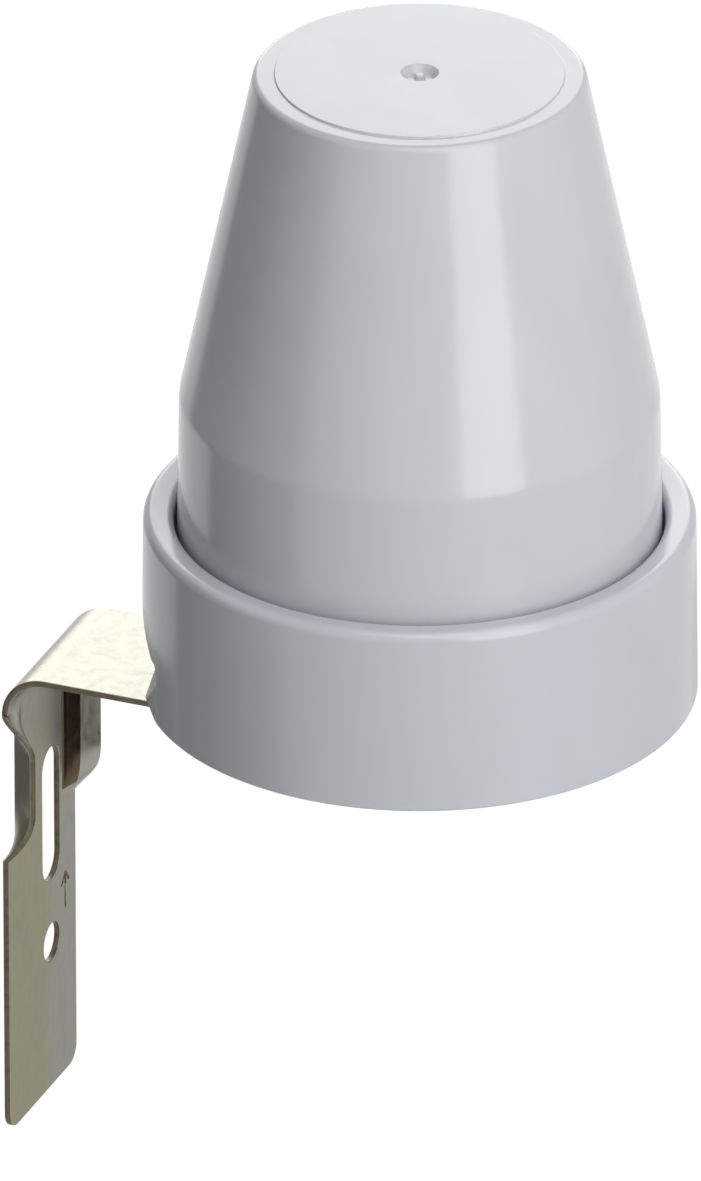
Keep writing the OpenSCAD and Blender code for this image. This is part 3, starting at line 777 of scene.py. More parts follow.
@dataclass(frozen=True)
class PassivatedSteel(Finish):
    """Zinc-plated steel strip with a pale passivation, an olive half, rolled lines and scuffs."""

    stain: Colour  # colour of its olive half
    bloom: Colour  # colour of its mauve clouds
    roughness: float = 0.3
    line_stretch: Stretch = (0.05, 1, 0.05)  # stretch of the rolled lines along X, Y and Z
    fade: float = 3 * MM  # width of the soft edge of the olive half
    olive_z: Point = (18 * MM, 40 * MM)  # heights between which the olive half thins out

    def lay(self, paint: Painter) -> None:
        """Lay the olive half, the mauve clouds, the specks, the lines and the scuffs.

        Args:
            paint: The material to paint.
        """
        patches = paint.noise(12 * MM, 4, (1, 1, 0.3), 0.8)
        place = paint.node("ShaderNodeSeparateXYZ", Vector=paint.place()).outputs
        across = paint.calculate("ADD", place["Y"], paint.spread(patches, -self.fade, self.fade))
        side = paint.spread(across, 1, 0, -self.fade * 0.8, self.fade * 0.5)
        low = paint.spread(place["Z"], 1, 0.1, *self.olive_z)
        tint = paint.blend(paint.calculate("MULTIPLY", side, low), self.colour, self.stain)
        clouds = paint.noise(7 * MM, 5, (1.4, 0.9, 0.5), 2)
        tint = paint.blend(paint.spread(clouds, 0, 0.3, 0.5, 0.75), tint, self.bloom)
        specks = paint.noise(0.35 * MM, 2)
        tint = paint.blend(paint.spread(specks, 0, 0.2, 0.6, 0.72), tint, darkened(self.stain, 0.6))
        paint.paint(tint, "Base Color")
        scuffs = paint.noise(4 * MM, 6, (1, 1, 0.4), 3)
        dull = paint.spread(scuffs, self.roughness * 0.9, self.roughness * 1.3, 0.35)
        paint.paint(dull, "Roughness")
        lines = paint.noise(0.16 * MM, 3, self.line_stretch)
        paint.relief((paint.noise(5 * MM, 2), 0.002 * MM), (lines, 0.004 * MM), (specks, 0.003 * MM))
        paint.set(metallic=1.0)


@dataclass(frozen=True)
class PlatedMetal(Finish):
    """Bright plated or tinned metal with fine turning marks."""

    roughness: float = 0.25
    tarnish: Colour = (0.35, 0.34, 0.31)  # colour of its dull spots
    tarnish_share: float = 0.35  # how much the spots show
    grain: float = 0.25 * MM  # size of its marks

    def lay(self, paint: Painter) -> None:
        """Lay the spots and the turning marks.

        Args:
            paint: The material to paint.
        """
        spots = paint.spread(paint.noise(1.6 * MM, 4, warp=0.8), 0, self.tarnish_share, 0.45)
        paint.paint(paint.blend(spots, self.colour, self.tarnish), "Base Color")
        marks = paint.noise(self.grain, 2, (1, 1, 3))
        paint.paint(paint.spread(marks, self.roughness * 0.8, self.roughness * 1.3), "Roughness")
        paint.relief((marks, 0.004 * MM))
        paint.set(metallic=1.0)


@dataclass(frozen=True)
class Rubber(Finish):
    """Black moulded rubber with a bloom of dust."""

    dust: Colour  # colour of the bloom

    def lay(self, paint: Painter) -> None:
        """Lay the bloom and the grain.

        Args:
            paint: The material to paint.
        """
        cloud = paint.noise(2.2 * MM, 5)
        bloom = paint.spread(cloud, 0, 0.5, 0.45, 0.8)
        paint.paint(paint.blend(bloom, self.colour, self.dust), "Base Color")
        paint.paint(paint.spread(cloud, 0.55, 0.75), "Roughness")
        paint.relief((paint.noise(0.2 * MM, 3), 0.008 * MM))


@dataclass(frozen=True)
class Laminate(Finish):
    """Pressed sheet, such as paper laminate or vulcanised fibre, with short fibres in it."""

    fibre: Colour
    roughness: float = 0.45
    fibre_size: float = 0.5 * MM  # length scale of the fibres

    def lay(self, paint: Painter) -> None:
        """Lay the clouds and the fibres.

        Args:
            paint: The material to paint.
        """
        cloud = paint.spread(paint.noise(7 * MM, 3), 0, 1)
        tint = paint.blend(cloud, self.colour, darkened(self.colour, 0.86))
        fibres = paint.noise(self.fibre_size, 4, (1, 0.22, 1), 1.5)
        paint.paint(paint.blend(paint.spread(fibres, 0, 0.6, 0.5, 0.68), tint, self.fibre), "Base Color")
        paint.paint(paint.spread(fibres, self.roughness, self.roughness * 1.3), "Roughness")
        paint.relief((fibres, 0.01 * MM))


@dataclass(frozen=True)
class Lacquer(Finish):
    """Glossy dipped, printed or shrunk coat with small dents."""

    roughness: float = 0.22
    dents: float = 0.03 * MM  # depth of its unevenness
    dent_size: float = 1.8 * MM

    def lay(self, paint: Painter) -> None:
        """Lay the clouds and the dents.

        Args:
            paint: The material to paint.
        """
        cloud = paint.noise(3 * MM, 4, warp=0.5)
        darker = darkened(self.colour, 0.72)
        paint.paint(paint.blend(paint.spread(cloud, 0, 0.6), self.colour, darker), "Base Color")
        paint.paint(paint.spread(cloud, self.roughness * 0.85, self.roughness * 1.25), "Roughness")
        paint.relief((paint.noise(self.dent_size, 2), self.dents), (paint.noise(0.3 * MM, 2), 0.003 * MM))


@dataclass(frozen=True)
class ColouredGlass(Finish):
    """The glass body of a small diode."""

    def lay(self, paint: Painter) -> None:
        """Lay the swirls and let light through.

        Args:
            paint: The material to paint.
        """
        swirl = paint.noise(1.2 * MM, 3, warp=1)
        deeper = darkened(self.colour, 0.55)
        paint.paint(paint.blend(paint.spread(swirl, 0, 0.7), self.colour, deeper), "Base Color")
        paint.paint(paint.spread(swirl, 0.04, 0.12), "Roughness")
        paint.relief((swirl, 0.01 * MM))
        paint.set(transmission_weight=0.55)


CAP_GREY = MouldedPlastic("cap_grey", srgb(205, 206, 211), 0.17)
BASE_GREY = MouldedPlastic("base_grey", srgb(200, 203, 209), 0.19)
TOWER_WHITE = MouldedPlastic("tower_white", srgb(226, 226, 222), 0.4, skin=0.008 * MM)
RELAY_BLUE = MouldedPlastic("relay_blue", srgb(34, 72, 148), 0.22)
RELAY_DARK = MouldedPlastic("relay_dark", srgb(34, 38, 52), 0.4, skin=0.01 * MM)
BLACK_EPOXY = MouldedPlastic("black_epoxy", srgb(34, 34, 36), 0.45, 0.08, 0.01 * MM, 0.15 * MM)
STEEL_STRIP = PassivatedSteel("steel_strip", srgb(153, 153, 142), srgb(151, 147, 117), srgb(131, 128, 128))
# painted shade: dark brown steel standing for the shade and dark reflection in the rear wing's fold; the
# stamped arrow uses it too
FOLD_SHADE_AND_ARROW = PassivatedSteel("fold_shade_and_arrow", srgb(86, 72, 56), srgb(80, 66, 48), srgb(64, 54, 46), 0.22)
CUT_EDGE = PlatedMetal("punched_edge", srgb(104, 98, 84), 0.4, srgb(70, 58, 48), 0.5, 0.6 * MM)
ZINC = PlatedMetal("zinc_plate", srgb(196, 198, 202), 0.28)
TINNED = PlatedMetal("tinned_copper", srgb(208, 208, 206), 0.22, tarnish_share=0.2)
SOLDER = PlatedMetal("solder", srgb(176, 178, 182), 0.2, srgb(120, 120, 122), 0.4, 0.5 * MM)
CAN_END = PlatedMetal("can_aluminium", srgb(205, 206, 208), 0.35)
COPPER = PlatedMetal("tinned_track", srgb(196, 150, 108), 0.3, srgb(180, 180, 178), 0.7, 0.6 * MM)
BLACK_RUBBER = Rubber("black_rubber", srgb(30, 30, 31), srgb(70, 69, 68))
RED_FIBRE = Laminate("red_fibre", srgb(142, 52, 40), srgb(170, 84, 64), 0.5)
BOARD_TAN = Laminate("board_tan", srgb(190, 160, 108), srgb(210, 186, 140), 0.35)
FILM_YELLOW = Lacquer("film_yellow", srgb(214, 170, 52), 0.28, 0.015 * MM)
SLEEVE_NAVY = Lacquer("sleeve_navy", srgb(30, 36, 66), 0.25, 0.02 * MM)
PRINT_PALE = Lacquer("print_pale", srgb(206, 208, 206), 0.5, 0.004 * MM)
EPOXY_BLUE = Lacquer("epoxy_blue", srgb(44, 98, 178), 0.2, 0.06 * MM)
RESISTOR_BEIGE = Lacquer("resistor_beige", srgb(214, 184, 140), 0.3, 0.02 * MM)
CEMENT_GREY = Lacquer("cement_grey", srgb(128, 142, 148), 0.45, 0.03 * MM, 0.6 * MM)
BAND_BROWN = Lacquer("band_brown", srgb(98, 58, 30))
BAND_BLACK = Lacquer("band_black", srgb(26, 26, 27))
BAND_ORANGE = Lacquer("band_orange", srgb(214, 112, 34))
BAND_GOLD = PlatedMetal("band_gold", srgb(196, 160, 84), 0.35)
CELL_FACE = Lacquer("cell_face", srgb(228, 206, 176), 0.12, 0.01 * MM)
CELL_TRACK = Lacquer("cell_track", srgb(190, 84, 44), 0.3, 0.004 * MM)
ZENER_GLASS = ColouredGlass("zener_glass", srgb(214, 112, 48))


@dataclass
class Workshop:
    """Keeps each finish's material, and hands finished pieces to the frame."""

    materials: dict[str, Material] = field(default_factory=dict)  # the materials made so far, by name
    count: int = 0  # how many pieces were handed over

    def material(self, finish: Finish) -> Material:
        """Give a finish's material, made once.

        Args:
            finish: The finish.

        Returns:
            Its material.
        """
        if finish.name not in self.materials:
            self.materials[finish.name] = finish.build()
        return self.materials[finish.name]

    def dress(self, piece: Piece, finishes: Sequence[Finish]) -> None:
        """Put finishes on a piece's material slots.

        Args:
            piece: The piece.
            finishes: One finish for each slot.
        """
        numbers = [polygon.material_index for polygon in piece.data.polygons]
        piece.data.materials.clear()
        for finish in finishes:
            piece.data.materials.append(self.material(finish))
        for polygon, number in zip(piece.data.polygons, numbers):
            polygon.material_index = min(number, len(finishes) - 1)

    def hand_over(self, piece: Piece, body: Body, slot: str, nodes: Sequence[str]) -> None:
        """Let a finished piece ride on its body and stand for its CAD nodes.

        Args:
            piece: The piece.
            body: The body that carries it.
            slot: The record's material slot. Not used.
            nodes: CAD nodes that the piece stands for.
        """
        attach(piece, body.value)
        if nodes:
            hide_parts(*nodes)
        self.count += 1
        LOG.info("%s rides on %s", piece.name, body.value)

    def repaint(self, node: str, finish: Finish) -> None:
        """Give a CAD node that stays its finish."""
        self.dress(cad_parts[node], [finish])
        LOG.info("%s keeps its shape", node)


# Sub-assemblies. Lengths are in metres. A name ends in _r for a radius, _h for a height, _w for a width,
# _t for a thickness and _len for a length, and edge is the rounding of a piece's edges.


@dataclass
class SubAssembly:
    """What all sub-assemblies share."""

    shop: Workshop
    body: ClassVar[Body] = Body.HOUSING  # the body that carries them

    def deliver(
        self, piece: Piece, crease_deg: float | None, slot: str,
        finish: Finish | Sequence[Finish], *nodes: str,
    ) -> None:
        """Shade a piece, dress it and hand it over.

        Args:
            piece: The piece.
            crease_deg: Angle past which its edges stay sharp, or None where it is shaded already.
            slot: The record's material slot.
            finish: Its finish, or one for each of its material slots.
            nodes: CAD nodes that the piece stands for.
        """
        if crease_deg is not None:
            shade(piece, crease_deg)
        self.shop.dress(piece, finish if isinstance(finish, Sequence) else [finish])
        self.shop.hand_over(piece, self.body, slot, nodes)


@dataclass
class Cap(SubAssembly):
    """The tall conical cap, with its foot, flat top, raised disc and moulding dimple."""

    body: ClassVar[Body] = Body.CAP
    taper: float = 0.45 * MM  # how much the foot narrows on each side
    foot_h: float = 26 * MM
    top_r: float = 22.25 * MM
    wall: float = 1.8 * MM
    roof: float = 2.2 * MM  # thickness of the flat top
    edge_round: float = 1.1 * MM
    shoulder_round: float = 8 * MM  # rounding between foot and cone
    disc_inset: float = 2.9 * MM  # distance from the top's edge to the disc
    disc_h: float = 0.28 * MM
    gate_r: float = 2.6 * MM  # radius of the dimple
    gate_depth: float = 1 * MM
    nub_r: float = 0.75 * MM
    nub_drop: float = 0.05 * MM  # how far the nub stays below the flat top
    segments: int = 256  # steps round the axis

    def outline(self, foot_r: float, height: float) -> list[Point]:
        """Section of the cap's wall.

        Args:
            foot_r: Radius of the foot's lower edge.
            height: Height of the flat top.

        Returns:
            Points (radius, height).
        """
        shoulder_r = foot_r - self.taper
        disc_r = self.top_r - self.disc_inset
        disc_z = height + self.disc_h
        step = self.disc_h / 3
        gate_z = disc_z - self.gate_depth
        return rounded([
            (foot_r, 0, self.wall / 6),
            (shoulder_r, self.foot_h, self.shoulder_round),
            (self.top_r, height, self.edge_round),
            (disc_r + step, height, step),
            (disc_r, disc_z, step),
            (self.gate_r, disc_z, self.gate_depth / 4),
            (self.gate_r * 0.62, gate_z, self.gate_depth / 3),
            (self.nub_r, gate_z, self.nub_r / 4),
            (self.nub_r * 0.8, height - self.nub_drop, self.nub_r / 3),
            (0, height, 0),
            (0, height - self.roof, 0),
            (self.top_r - self.wall, height - self.roof, self.edge_round),
            (shoulder_r - self.wall, self.foot_h, self.shoulder_round),
            (foot_r - self.wall, 0, self.wall / 6),
        ], steps=14)

    def build(self) -> None:
        """Make the cap and hand it over."""
        space = node_box("cap")
        outline = self.outline(space.size.x / 2, space.size.z - self.disc_h)
        cap = lathe("conical_cap", outline, space.foot, self.segments)
        self.deliver(cap, 40, "cap_plastic", CAP_GREY, "cap")


@dataclass
class Base(SubAssembly):
    """The round base moulding: rim, groove, collar, floor, boss, ribs, posts, notch and lands."""

    taper: float = 0.3 * MM  # how much the base narrows on each side up to its rim
    rim_round: float = 1.4 * MM  # rounding of the rim's outer edge
    rim_fall: float = 0.35 * MM  # how far the rim falls towards the groove
    rim_lip: float = 1.3 * MM  # rounding of the rim above the groove
    skirt_wall: float = 2.4 * MM
    recess_h: float = 14 * MM  # depth of the space under the floor
    floor_t: float = 2.5 * MM
    collar_h: float = 8.5 * MM
    collar_wall: float = 2 * MM
    cap_wall: float = 1.8 * MM
    cap_gap: float = 0.3 * MM  # gap outside the cap's foot
    collar_gap: float = 0.5 * MM  # gap inside the cap's foot
    boss_r: float = 7.5 * MM
    boss_drop: float = 1.5 * MM  # how far the boss reaches below the skirt
    bore_r: float = 2.2 * MM
    nut_gap: float = 0.17 * MM  # gap at the corners of the nut in its pocket
    nut_drop: float = 0.15 * MM  # gap under the nut
    seat_r: float = 5.95 * MM
    post_r: float = 3 * MM
    pilot_r: float = 1.35 * MM  # radius of the posts' holes
    rib_t: float = 1.6 * MM
    rib_h: float = 9 * MM
    rib_angles: tuple[float, ...] = (0, 60, 120, 240, 300)
    notch_foot: float = 17.5 * MM  # half the notch's width at the skirt's edge
    notch_half: float = 23.8 * MM  # half its greatest width
    notch_knee: float = 8 * MM  # height of its greatest width
    notch_top: float = 15 * MM  # half its width at the top
    notch_reach: Point = (0.65, 1.2)  # where its tool starts and ends, as shares of the skirt's radius
    lintel: float = 1 * MM  # wall between notch and floor
    land_angles: Point = (24, 41.5)  # angles of the flat land off the bracket's line
    land_rise: float = 1.08  # height of the land as a share of the knee's
    edge: float = 0.3 * MM
    root: float = 0.4 * MM  # how far ribs, boss and posts reach into what carries them
    over: float = 1 * MM  # how far the drills reach past what they cut
    segments: int = 256  # steps round the axis

    def shell_outline(self, outer: float, height: float, cap_r: float) -> list[Point]:
        """Section of the base without its ribs.

        Args:
            outer: Radius of the skirt's lower edge.
            height: Height of the rim.
            cap_r: Radius of the cap's foot.

        Returns:
            Points (radius, height).
        """
        floor = self.recess_h + self.floor_t
        groove = cap_r + self.cap_gap
        collar = cap_r - self.cap_wall - self.collar_gap
        skirt_in = outer - self.skirt_wall
        return rounded([
            (outer, 0, self.skirt_wall / 6),
            (outer - self.taper, height, self.rim_round),
            (groove, height - self.rim_fall, self.rim_lip),
            (groove, floor, self.edge),
            (collar, floor, self.edge),
            (collar, floor + self.collar_h, self.collar_wall / 4),
            (collar - self.collar_wall, floor + self.collar_h, self.collar_wall / 4),
            (collar - self.collar_wall, floor, self.edge),
            (0, floor, 0),
            (0, self.recess_h, 0),
            (skirt_in, self.recess_h, self.skirt_wall / 2),
            (skirt_in, 0, self.skirt_wall / 6),
        ], steps=10)

    def add_ribs(self, base: Piece, foot: Vector, reach: float) -> None:
        """Join the ribs to the base.

        Args:
            base: The base.
            foot: Middle of its lower edge.
            reach: Radius at which the ribs end.
        """
        top = foot.z + self.recess_h
        for angle in self.rib_angles:
            spin = Matrix.Rotation(math.radians(angle), 2)
            near, far = self.boss_r - self.root, reach + self.root
            start, end = (foot.xy + spin @ Vector((r, 0)) for r in (near, far))
            rib = strip_run("rib", start, end, self.rib_t / 2, top - self.rib_h, top + self.root)
            carve(base, rib, Cut.ADD)

    def add_posts(self, base: Piece, foot: Vector) -> None:
        """Join the board's posts to the base, with their pilot holes.

        Args:
            base: The base.
            foot: Middle of its lower edge.
        """
        floor = foot.z + self.recess_h + self.floor_t
        rise = node_box("circuit_board").lo.z - floor
        for screw in solid_boxes("board_screws"):
            place = screw.at(floor)
            carve(base, drum("post", place, self.post_r, -self.root, rise, (0, self.edge)), Cut.ADD)
            low = screw.lo.z - floor - self.root
            carve(base, drum("pilot", place, self.pilot_r, low, rise + self.edge, segments=48))

    def drill(self, base: Piece, foot: Vector) -> None:
        """Cut the pivot's bore, its nut pocket and the grommet's hole.

        Args:
            base: The base.
            foot: Middle of its lower edge.
        """
        nut, grommet = node_box("pivot_nut"), node_box("cable_grommet")
        past = self.recess_h + self.floor_t + self.over
        carve(base, drum("bore", foot, self.bore_r, -self.boss_drop - self.over, past))
        corners = circle(nut.size.x / 2 + self.nut_gap, 6, foot.xy)
        carve(base, prism("pocket", corners, nut.lo.z - self.nut_drop, foot.z + past))
        seat = drum("seat", grommet.at(foot.z), self.seat_r, self.recess_h - self.over, past, segments=96)
        carve(base, seat)

    def notch_tool(self, foot: Vector, outer: float) -> Piece:
        """The solid that cuts the notch over the bracket.

        Args:
            foot: Middle of the base's lower edge.
            outer: Radius of the skirt.

        Returns:
            The cutting tool.
        """
        half = [(self.notch_foot, -self.edge * 4), (self.notch_foot, 0),
                (self.notch_half, self.notch_knee), (self.notch_top, self.recess_h - self.lintel)]
        outline = half + [(-y, z) for y, z in reversed(half)]
        return skin("notch", [[Vector((foot.x - outer * share, foot.y + y, foot.z + z)) for y, z in outline]
                              for share in self.notch_reach])

    def land_tool(self, foot: Vector, outer: float, side: int) -> Piece:
        """The solid that cuts one flat land beside the notch.

        Args:
            foot: Middle of the base's lower edge.
            outer: Radius of the skirt.
            side: -1 or 1, for the land at the near or the far side.

        Returns:
            The cutting tool.
        """
        first, last = (math.radians(180 + side * a) for a in self.land_angles)
        turns = (first, (first + last) / 2, last)
        start, out, end = (Vector((math.cos(a), math.sin(a))) * outer for a in turns)
        along = (end - start).normalized() * self.edge
        corners = [start - along, end + along, end + along + out, start - along + out]
        return prism("land", [(foot.x + p.x, foot.y + p.y) for p in corners],
                     foot.z - self.edge * 4, foot.z + self.land_rise * self.notch_knee)

    def build(self) -> None:
        """Make the base and hand it over."""
        space, cap = node_box("base"), node_box("cap")
        foot = Vector((cap.foot.x, cap.foot.y, space.lo.z + self.boss_drop))
        outer = space.size.y / 2
        outline = self.shell_outline(outer, space.hi.z - foot.z, cap.size.x / 2)
        base = lathe("round_base", outline, foot, self.segments)
        self.add_ribs(base, foot, outer - self.skirt_wall)
        top = self.recess_h + self.root
        carve(base, drum("boss", foot, self.boss_r, -self.boss_drop, top, (self.edge, 0), segments=96),
              Cut.ADD)
        self.add_posts(base, foot)
        self.drill(base, foot)
        carve(base, self.notch_tool(foot, outer))
        for side in (-1, 1):
            carve(base, self.land_tool(foot, outer, side))
        self.deliver(base, 30, "base_plastic", BASE_GREY, "base")


@dataclass
class WallBracket(SubAssembly):
    """The bent steel strip with its slot, hole, pressed wings and a stamped arrow."""

    body: ClassVar[Body] = Body.BRACKET
    reach: float = 54.9 * MM  # distance from the wall to the pivot
    top: float = 48 * MM  # height of the strip's upper face
    width: float = 23.5 * MM
    shift: float = 3.2 * MM  # distance from its middle line to the line of its holes
    sheet: float = 0.9 * MM  # thickness of the steel
    bend_r: float = 6.2 * MM  # outer radius of the bend
    leg_tail: float = 22 * MM  # length of the leg below the wall hole
    arm_tail: float = 9 * MM  # length of the strip past the pivot
    corner: float = 2.6 * MM
    hole_r: float = 2.8 * MM
    slot_r: float = 3 * MM  # half the slot's width
    slot_len: float = 20.2 * MM
    slot_rise: float = 19.7 * MM  # height of the slot's middle
    pivot_r: float = 2.08 * MM
    wing_w: float = 4.7 * MM  # width of the edge that is folded into a wing
    wing_angle: float = math.radians(45)  # fold angle
    fold_r: float = 1.2 * MM  # inner radius of the fold
    wing_tab: float = 1.7 * MM  # how far a wing's free edge stands out past the strip's edge
    wing_corner: float = 4.4 * MM  # height of the rounded corner at each end of a wing
    corner_steps: int = 12
    wing_h: float = 22.4 * MM
    wing_run: float = 8 * MM  # height of the stretch in which a wing runs out into the leg
    wing_run_top: float = 6 * MM  # height of the stretch in which it runs out into the bend
    slices: tuple[int, int, int] = (20, 9, 12)  # steps of the bend, of a fold and of a wing's running out
    fold_shade_share: float = 0.72  # share of the rear wing's width in whose fold shade is painted
    fold_shade_turn: float = 0.35  # share of the fold angle past which that shade is painted
    edge: float = 0.12 * MM
    arrow_len: float = 5.4 * MM
    arrow_at: Point = (5.7 * MM, 4.9 * MM)  # place of the arrow's middle, along the leg and across
    arrow_patch: float = 0.62  # half the finely divided patch round the arrow, as a share of its length
    arrow_steps: int = 44  # steps across the patch
    barb: float = 0.3  # length of the arrow's barbs as a share of its own
    barb_slope: float = 0.8  # how far a barb spreads for each step along
    stamp_depth: float = 0.18 * MM
    stamp_w: float = 0.42 * MM

    @property
    def mid_r(self) -> float:
        """Radius of the bend's middle layer."""
        return self.bend_r - self.sheet / 2

    @property
    def leg_top(self) -> float:
        """Height at which the bend starts."""
        return self.top - self.bend_r

    @property
    def leg_len(self) -> float:
        """Length of the flat leg."""
        return self.leg_top + self.leg_tail

    @property
    def bend_len(self) -> float:
        """Length of the bend's middle layer."""
        return self.mid_r * math.pi / 2

    @property
    def fold_y(self) -> float:
        """Distance of the folds from the strip's middle line."""
        return self.width / 2 - self.wing_w

    def edge_levels(self) -> list[Point]:
        """Outline of one wing on the flat plate.

        Returns:
            Lengths along the plate, each with the distance that the edge stands out there.
        """
        foot = self.leg_len - self.wing_h
        turns = [math.pi / 2 * share for share in shares(self.corner_steps)]
        rise = [(self.wing_corner * (1 - math.cos(a)), self.wing_tab * math.sin(a)) for a in turns]
        return [(foot + x, out) for x, out in rise] + [(self.leg_len - x, out) for x, out in reversed(rise)]

    def flat_plate(self) -> Piece:
        """The strip before it is bent: length along X, width along Y.

        Returns:
            A closed plate with rounded edges and its holes.
        """
        low, high = -self.width / 2 - self.shift, self.width / 2 - self.shift
        length = self.leg_len + self.bend_len + self.reach + self.arm_tail - self.bend_r
        corners = rectangle(Vector((0, low)), Vector((length, high)), self.corner, 0, 10)
        near_wing = [(x, low - out) for x, out in self.edge_levels()]
        far_wing = [(x, high + out) for x, out in reversed(self.edge_levels())]
        quarter = len(corners) // 4
        outer = corners[:quarter] + near_wing + corners[quarter:-quarter] + far_wing + corners[-quarter:]
        middle = Vector((self.leg_tail + self.slot_rise, 0))
        half = Vector((self.slot_len / 2, self.slot_r))
        slot = rectangle(middle - half, middle + half, self.slot_r * 0.999, 0, 16)
        hole = circle(self.hole_r, 64, (self.leg_tail, 0))
        pivot = circle(self.pivot_r, 48, (length - self.arm_tail, 0))
        curve = bpy.data.curves.new("plate", "CURVE")
        curve.dimensions = "2D"
        curve.fill_mode = "BOTH"
        curve.extrude = self.sheet / 2 - self.edge
        curve.bevel_depth = self.edge
        curve.bevel_resolution = 2
        curve.offset = -self.edge
        for loop in (outer, slot, hole, pivot):
            line = curve.splines.new("POLY")
            line.points.add(len(loop) - 1)
            for point, (x, y) in zip(line.points, loop):
                point.co = (x, y, 0, 1)
            line.use_cyclic_u = True
        plate = link("plate", curve)
        mesh = finished_mesh(plate)
        bpy.data.objects.remove(plate)
        return link("wall_bracket_strip", mesh)

    def slice_plate(self, edit: bmesh.types.BMesh) -> None:
        """Divide the plate where it is bent, folded or stamped.

        Args:
            edit: The plate's mesh.
        """
        bmesh.ops.remove_doubles(edit, verts=edit.verts, dist=WELD_GAP)
        bend_steps, fold_steps, run_steps = self.slices
        wing_foot = self.leg_len - self.wing_h
        lengths = [self.leg_len + self.bend_len * share for share in shares(bend_steps)]
        lengths += [wing_foot + self.wing_run * share for share in shares(run_steps)]
        lengths += [self.leg_len - self.wing_run_top * share for share in shares(run_steps)]
        for x in lengths:
            self.slice_at(edit, 0, x)
        turn_len = (self.fold_r + self.sheet / 2) * self.wing_angle
        for side in (-1, 1):
            for share in shares(fold_steps):
                place = side * (self.fold_y + turn_len * share) - self.shift
                self.slice_at(edit, 1, place, (wing_foot, self.leg_len))
        middle = (self.leg_tail + self.arrow_at[0], self.arrow_at[1])
        half = self.arrow_len * self.arrow_patch
        for side in (-1, 1):
            self.slice_at(edit, 0, middle[0] + side * half)
            self.slice_at(edit, 1, middle[1] + side * half, (middle[0] - half, middle[0] + half))
        for axis in (0, 1):
            for share in shares(self.arrow_steps):
                offset = half * (2 * share - 1)
                self.slice_at(edit, axis, middle[axis] + offset, None, (*middle, half))

    @staticmethod
    def slice_at(
        edit: bmesh.types.BMesh, axis: int, place: float,
        span: Point | None = None, patch: Corner | None = None,
    ) -> None:
        """Cut the plate's faces along a plane.

        Args:
            edit: The plate's mesh.
            axis: 0 for a plane across the plate's length, 1 for one across its width.
            place: Where the plane stands.
            span: Lengths between which faces are cut, or None for all.
            patch: Middle (x, y) and half width of the inner face's patch that is cut, or None for all.
        """
        def wanted(face: bmesh.types.BMFace) -> bool:
            """Say if the plane may cut a face.

            Args:
                face: The face.

            Returns:
                True if it lies in the span and on the patch.
            """
            middle = face.calc_center_median()
            if span and not span[0] - SLACK < middle.x < span[1] + SLACK:
                return False
            if patch:
                near = max(abs(middle.x - patch[0]), abs(middle.y - patch[1])) < patch[2]
                return near and face.normal.z < -FACING
            return True
        faces = [f for f in edit.faces if wanted(f)]
        geometry = list({v for f in faces for v in f.verts} | {e for f in faces for e in f.edges}) + faces
        normal = Vector((1 - axis, axis, 0))
        where = normal * place
        bmesh.ops.bisect_plane(edit, geom=geometry, plane_co=where, plane_no=normal, dist=AXIS_LIMIT)

    def stamp(self, x: float, y: float) -> float:
        """Depth of the stamped arrow at a point of the flat plate.

        Args:
            x: Length along the plate.
            y: Place across it.

        Returns:
            How deep the mark is there.
        """
        tip = Vector((self.leg_tail + self.arrow_at[0] + self.arrow_len / 2, self.arrow_at[1]))
        barb = self.arrow_len * self.barb
        ends = [tip - Vector((self.arrow_len, 0))]
        ends += [tip + Vector((-barb, side * barb * self.barb_slope)) for side in (-1, 1)]
        here = Vector((x, y))
        nearest = self.arrow_len
        for end in ends:
            along = end - tip
            share = max(0.0, min(1.0, (here - tip).dot(along) / along.length_squared))
            nearest = min(nearest, (here - tip - along * share).length)
        return self.stamp_depth * smooth(1 - nearest / self.stamp_w)

    def wing_turn(self, height: float) -> float:
        """Fold angle of the wings at a height of the leg.

        Args:
            height: Height above the wall hole.

        Returns:
            The angle in radians.
        """
        def eased(share: float) -> float:
            """Ease a share out."""
            return math.sin(math.pi / 2 * max(0.0, min(1.0, share)))
        foot = self.leg_top - self.wing_h
        return self.wing_angle * min(eased((height - foot) / self.wing_run),
                                     eased((self.leg_top - height) / self.wing_run_top))

    def in_fold_shade(self, flat: Vector) -> bool:
        """Say if a point lies in the rear wing's fold, where shade is painted.

        Args:
            flat: The point on the flat plate.

        Returns:
            True if it does.
        """
        share = (flat.y + self.shift - self.fold_y) / self.wing_w
        turned = self.wing_turn(flat.x - self.leg_tail) / self.wing_angle
        return 0 < share < self.fold_shade_share and turned > self.fold_shade_turn

    def bend_point(self, flat: Vector) -> Vector:
        """Place of a point of the flat plate once it is bent.

        Args:
            flat: Length, width and height on the flat plate.

        Returns:
            The point in the row frame.
        """
        past_bend = flat.x - self.leg_len - self.bend_len
        if past_bend > 0:
            return Vector((self.bend_r + past_bend, flat.y, self.top - self.sheet / 2 + flat.z))
        if flat.x > self.leg_len:
            turn = (flat.x - self.leg_len) / self.mid_r
            radius = self.mid_r + flat.z
            return Vector((self.bend_r - radius * math.cos(turn), flat.y,
                           self.leg_top + radius * math.sin(turn)))
        height = flat.x - self.leg_tail
        across = flat.y + self.shift
        past = abs(across) - self.fold_y
        if past <= 0:
            return Vector((self.sheet / 2 - flat.z, flat.y, height))
        middle_r = self.fold_r + self.sheet / 2
        radius = middle_r + flat.z
        turn = min(past / middle_r, self.wing_turn(height))
        straight = past - turn * middle_r
        inward = self.fold_r + self.sheet - radius * math.cos(turn) + straight * math.sin(turn)
        out = self.fold_y + radius * math.sin(turn) + straight * math.cos(turn)
        return Vector((inward, math.copysign(out, across) - self.shift, height))

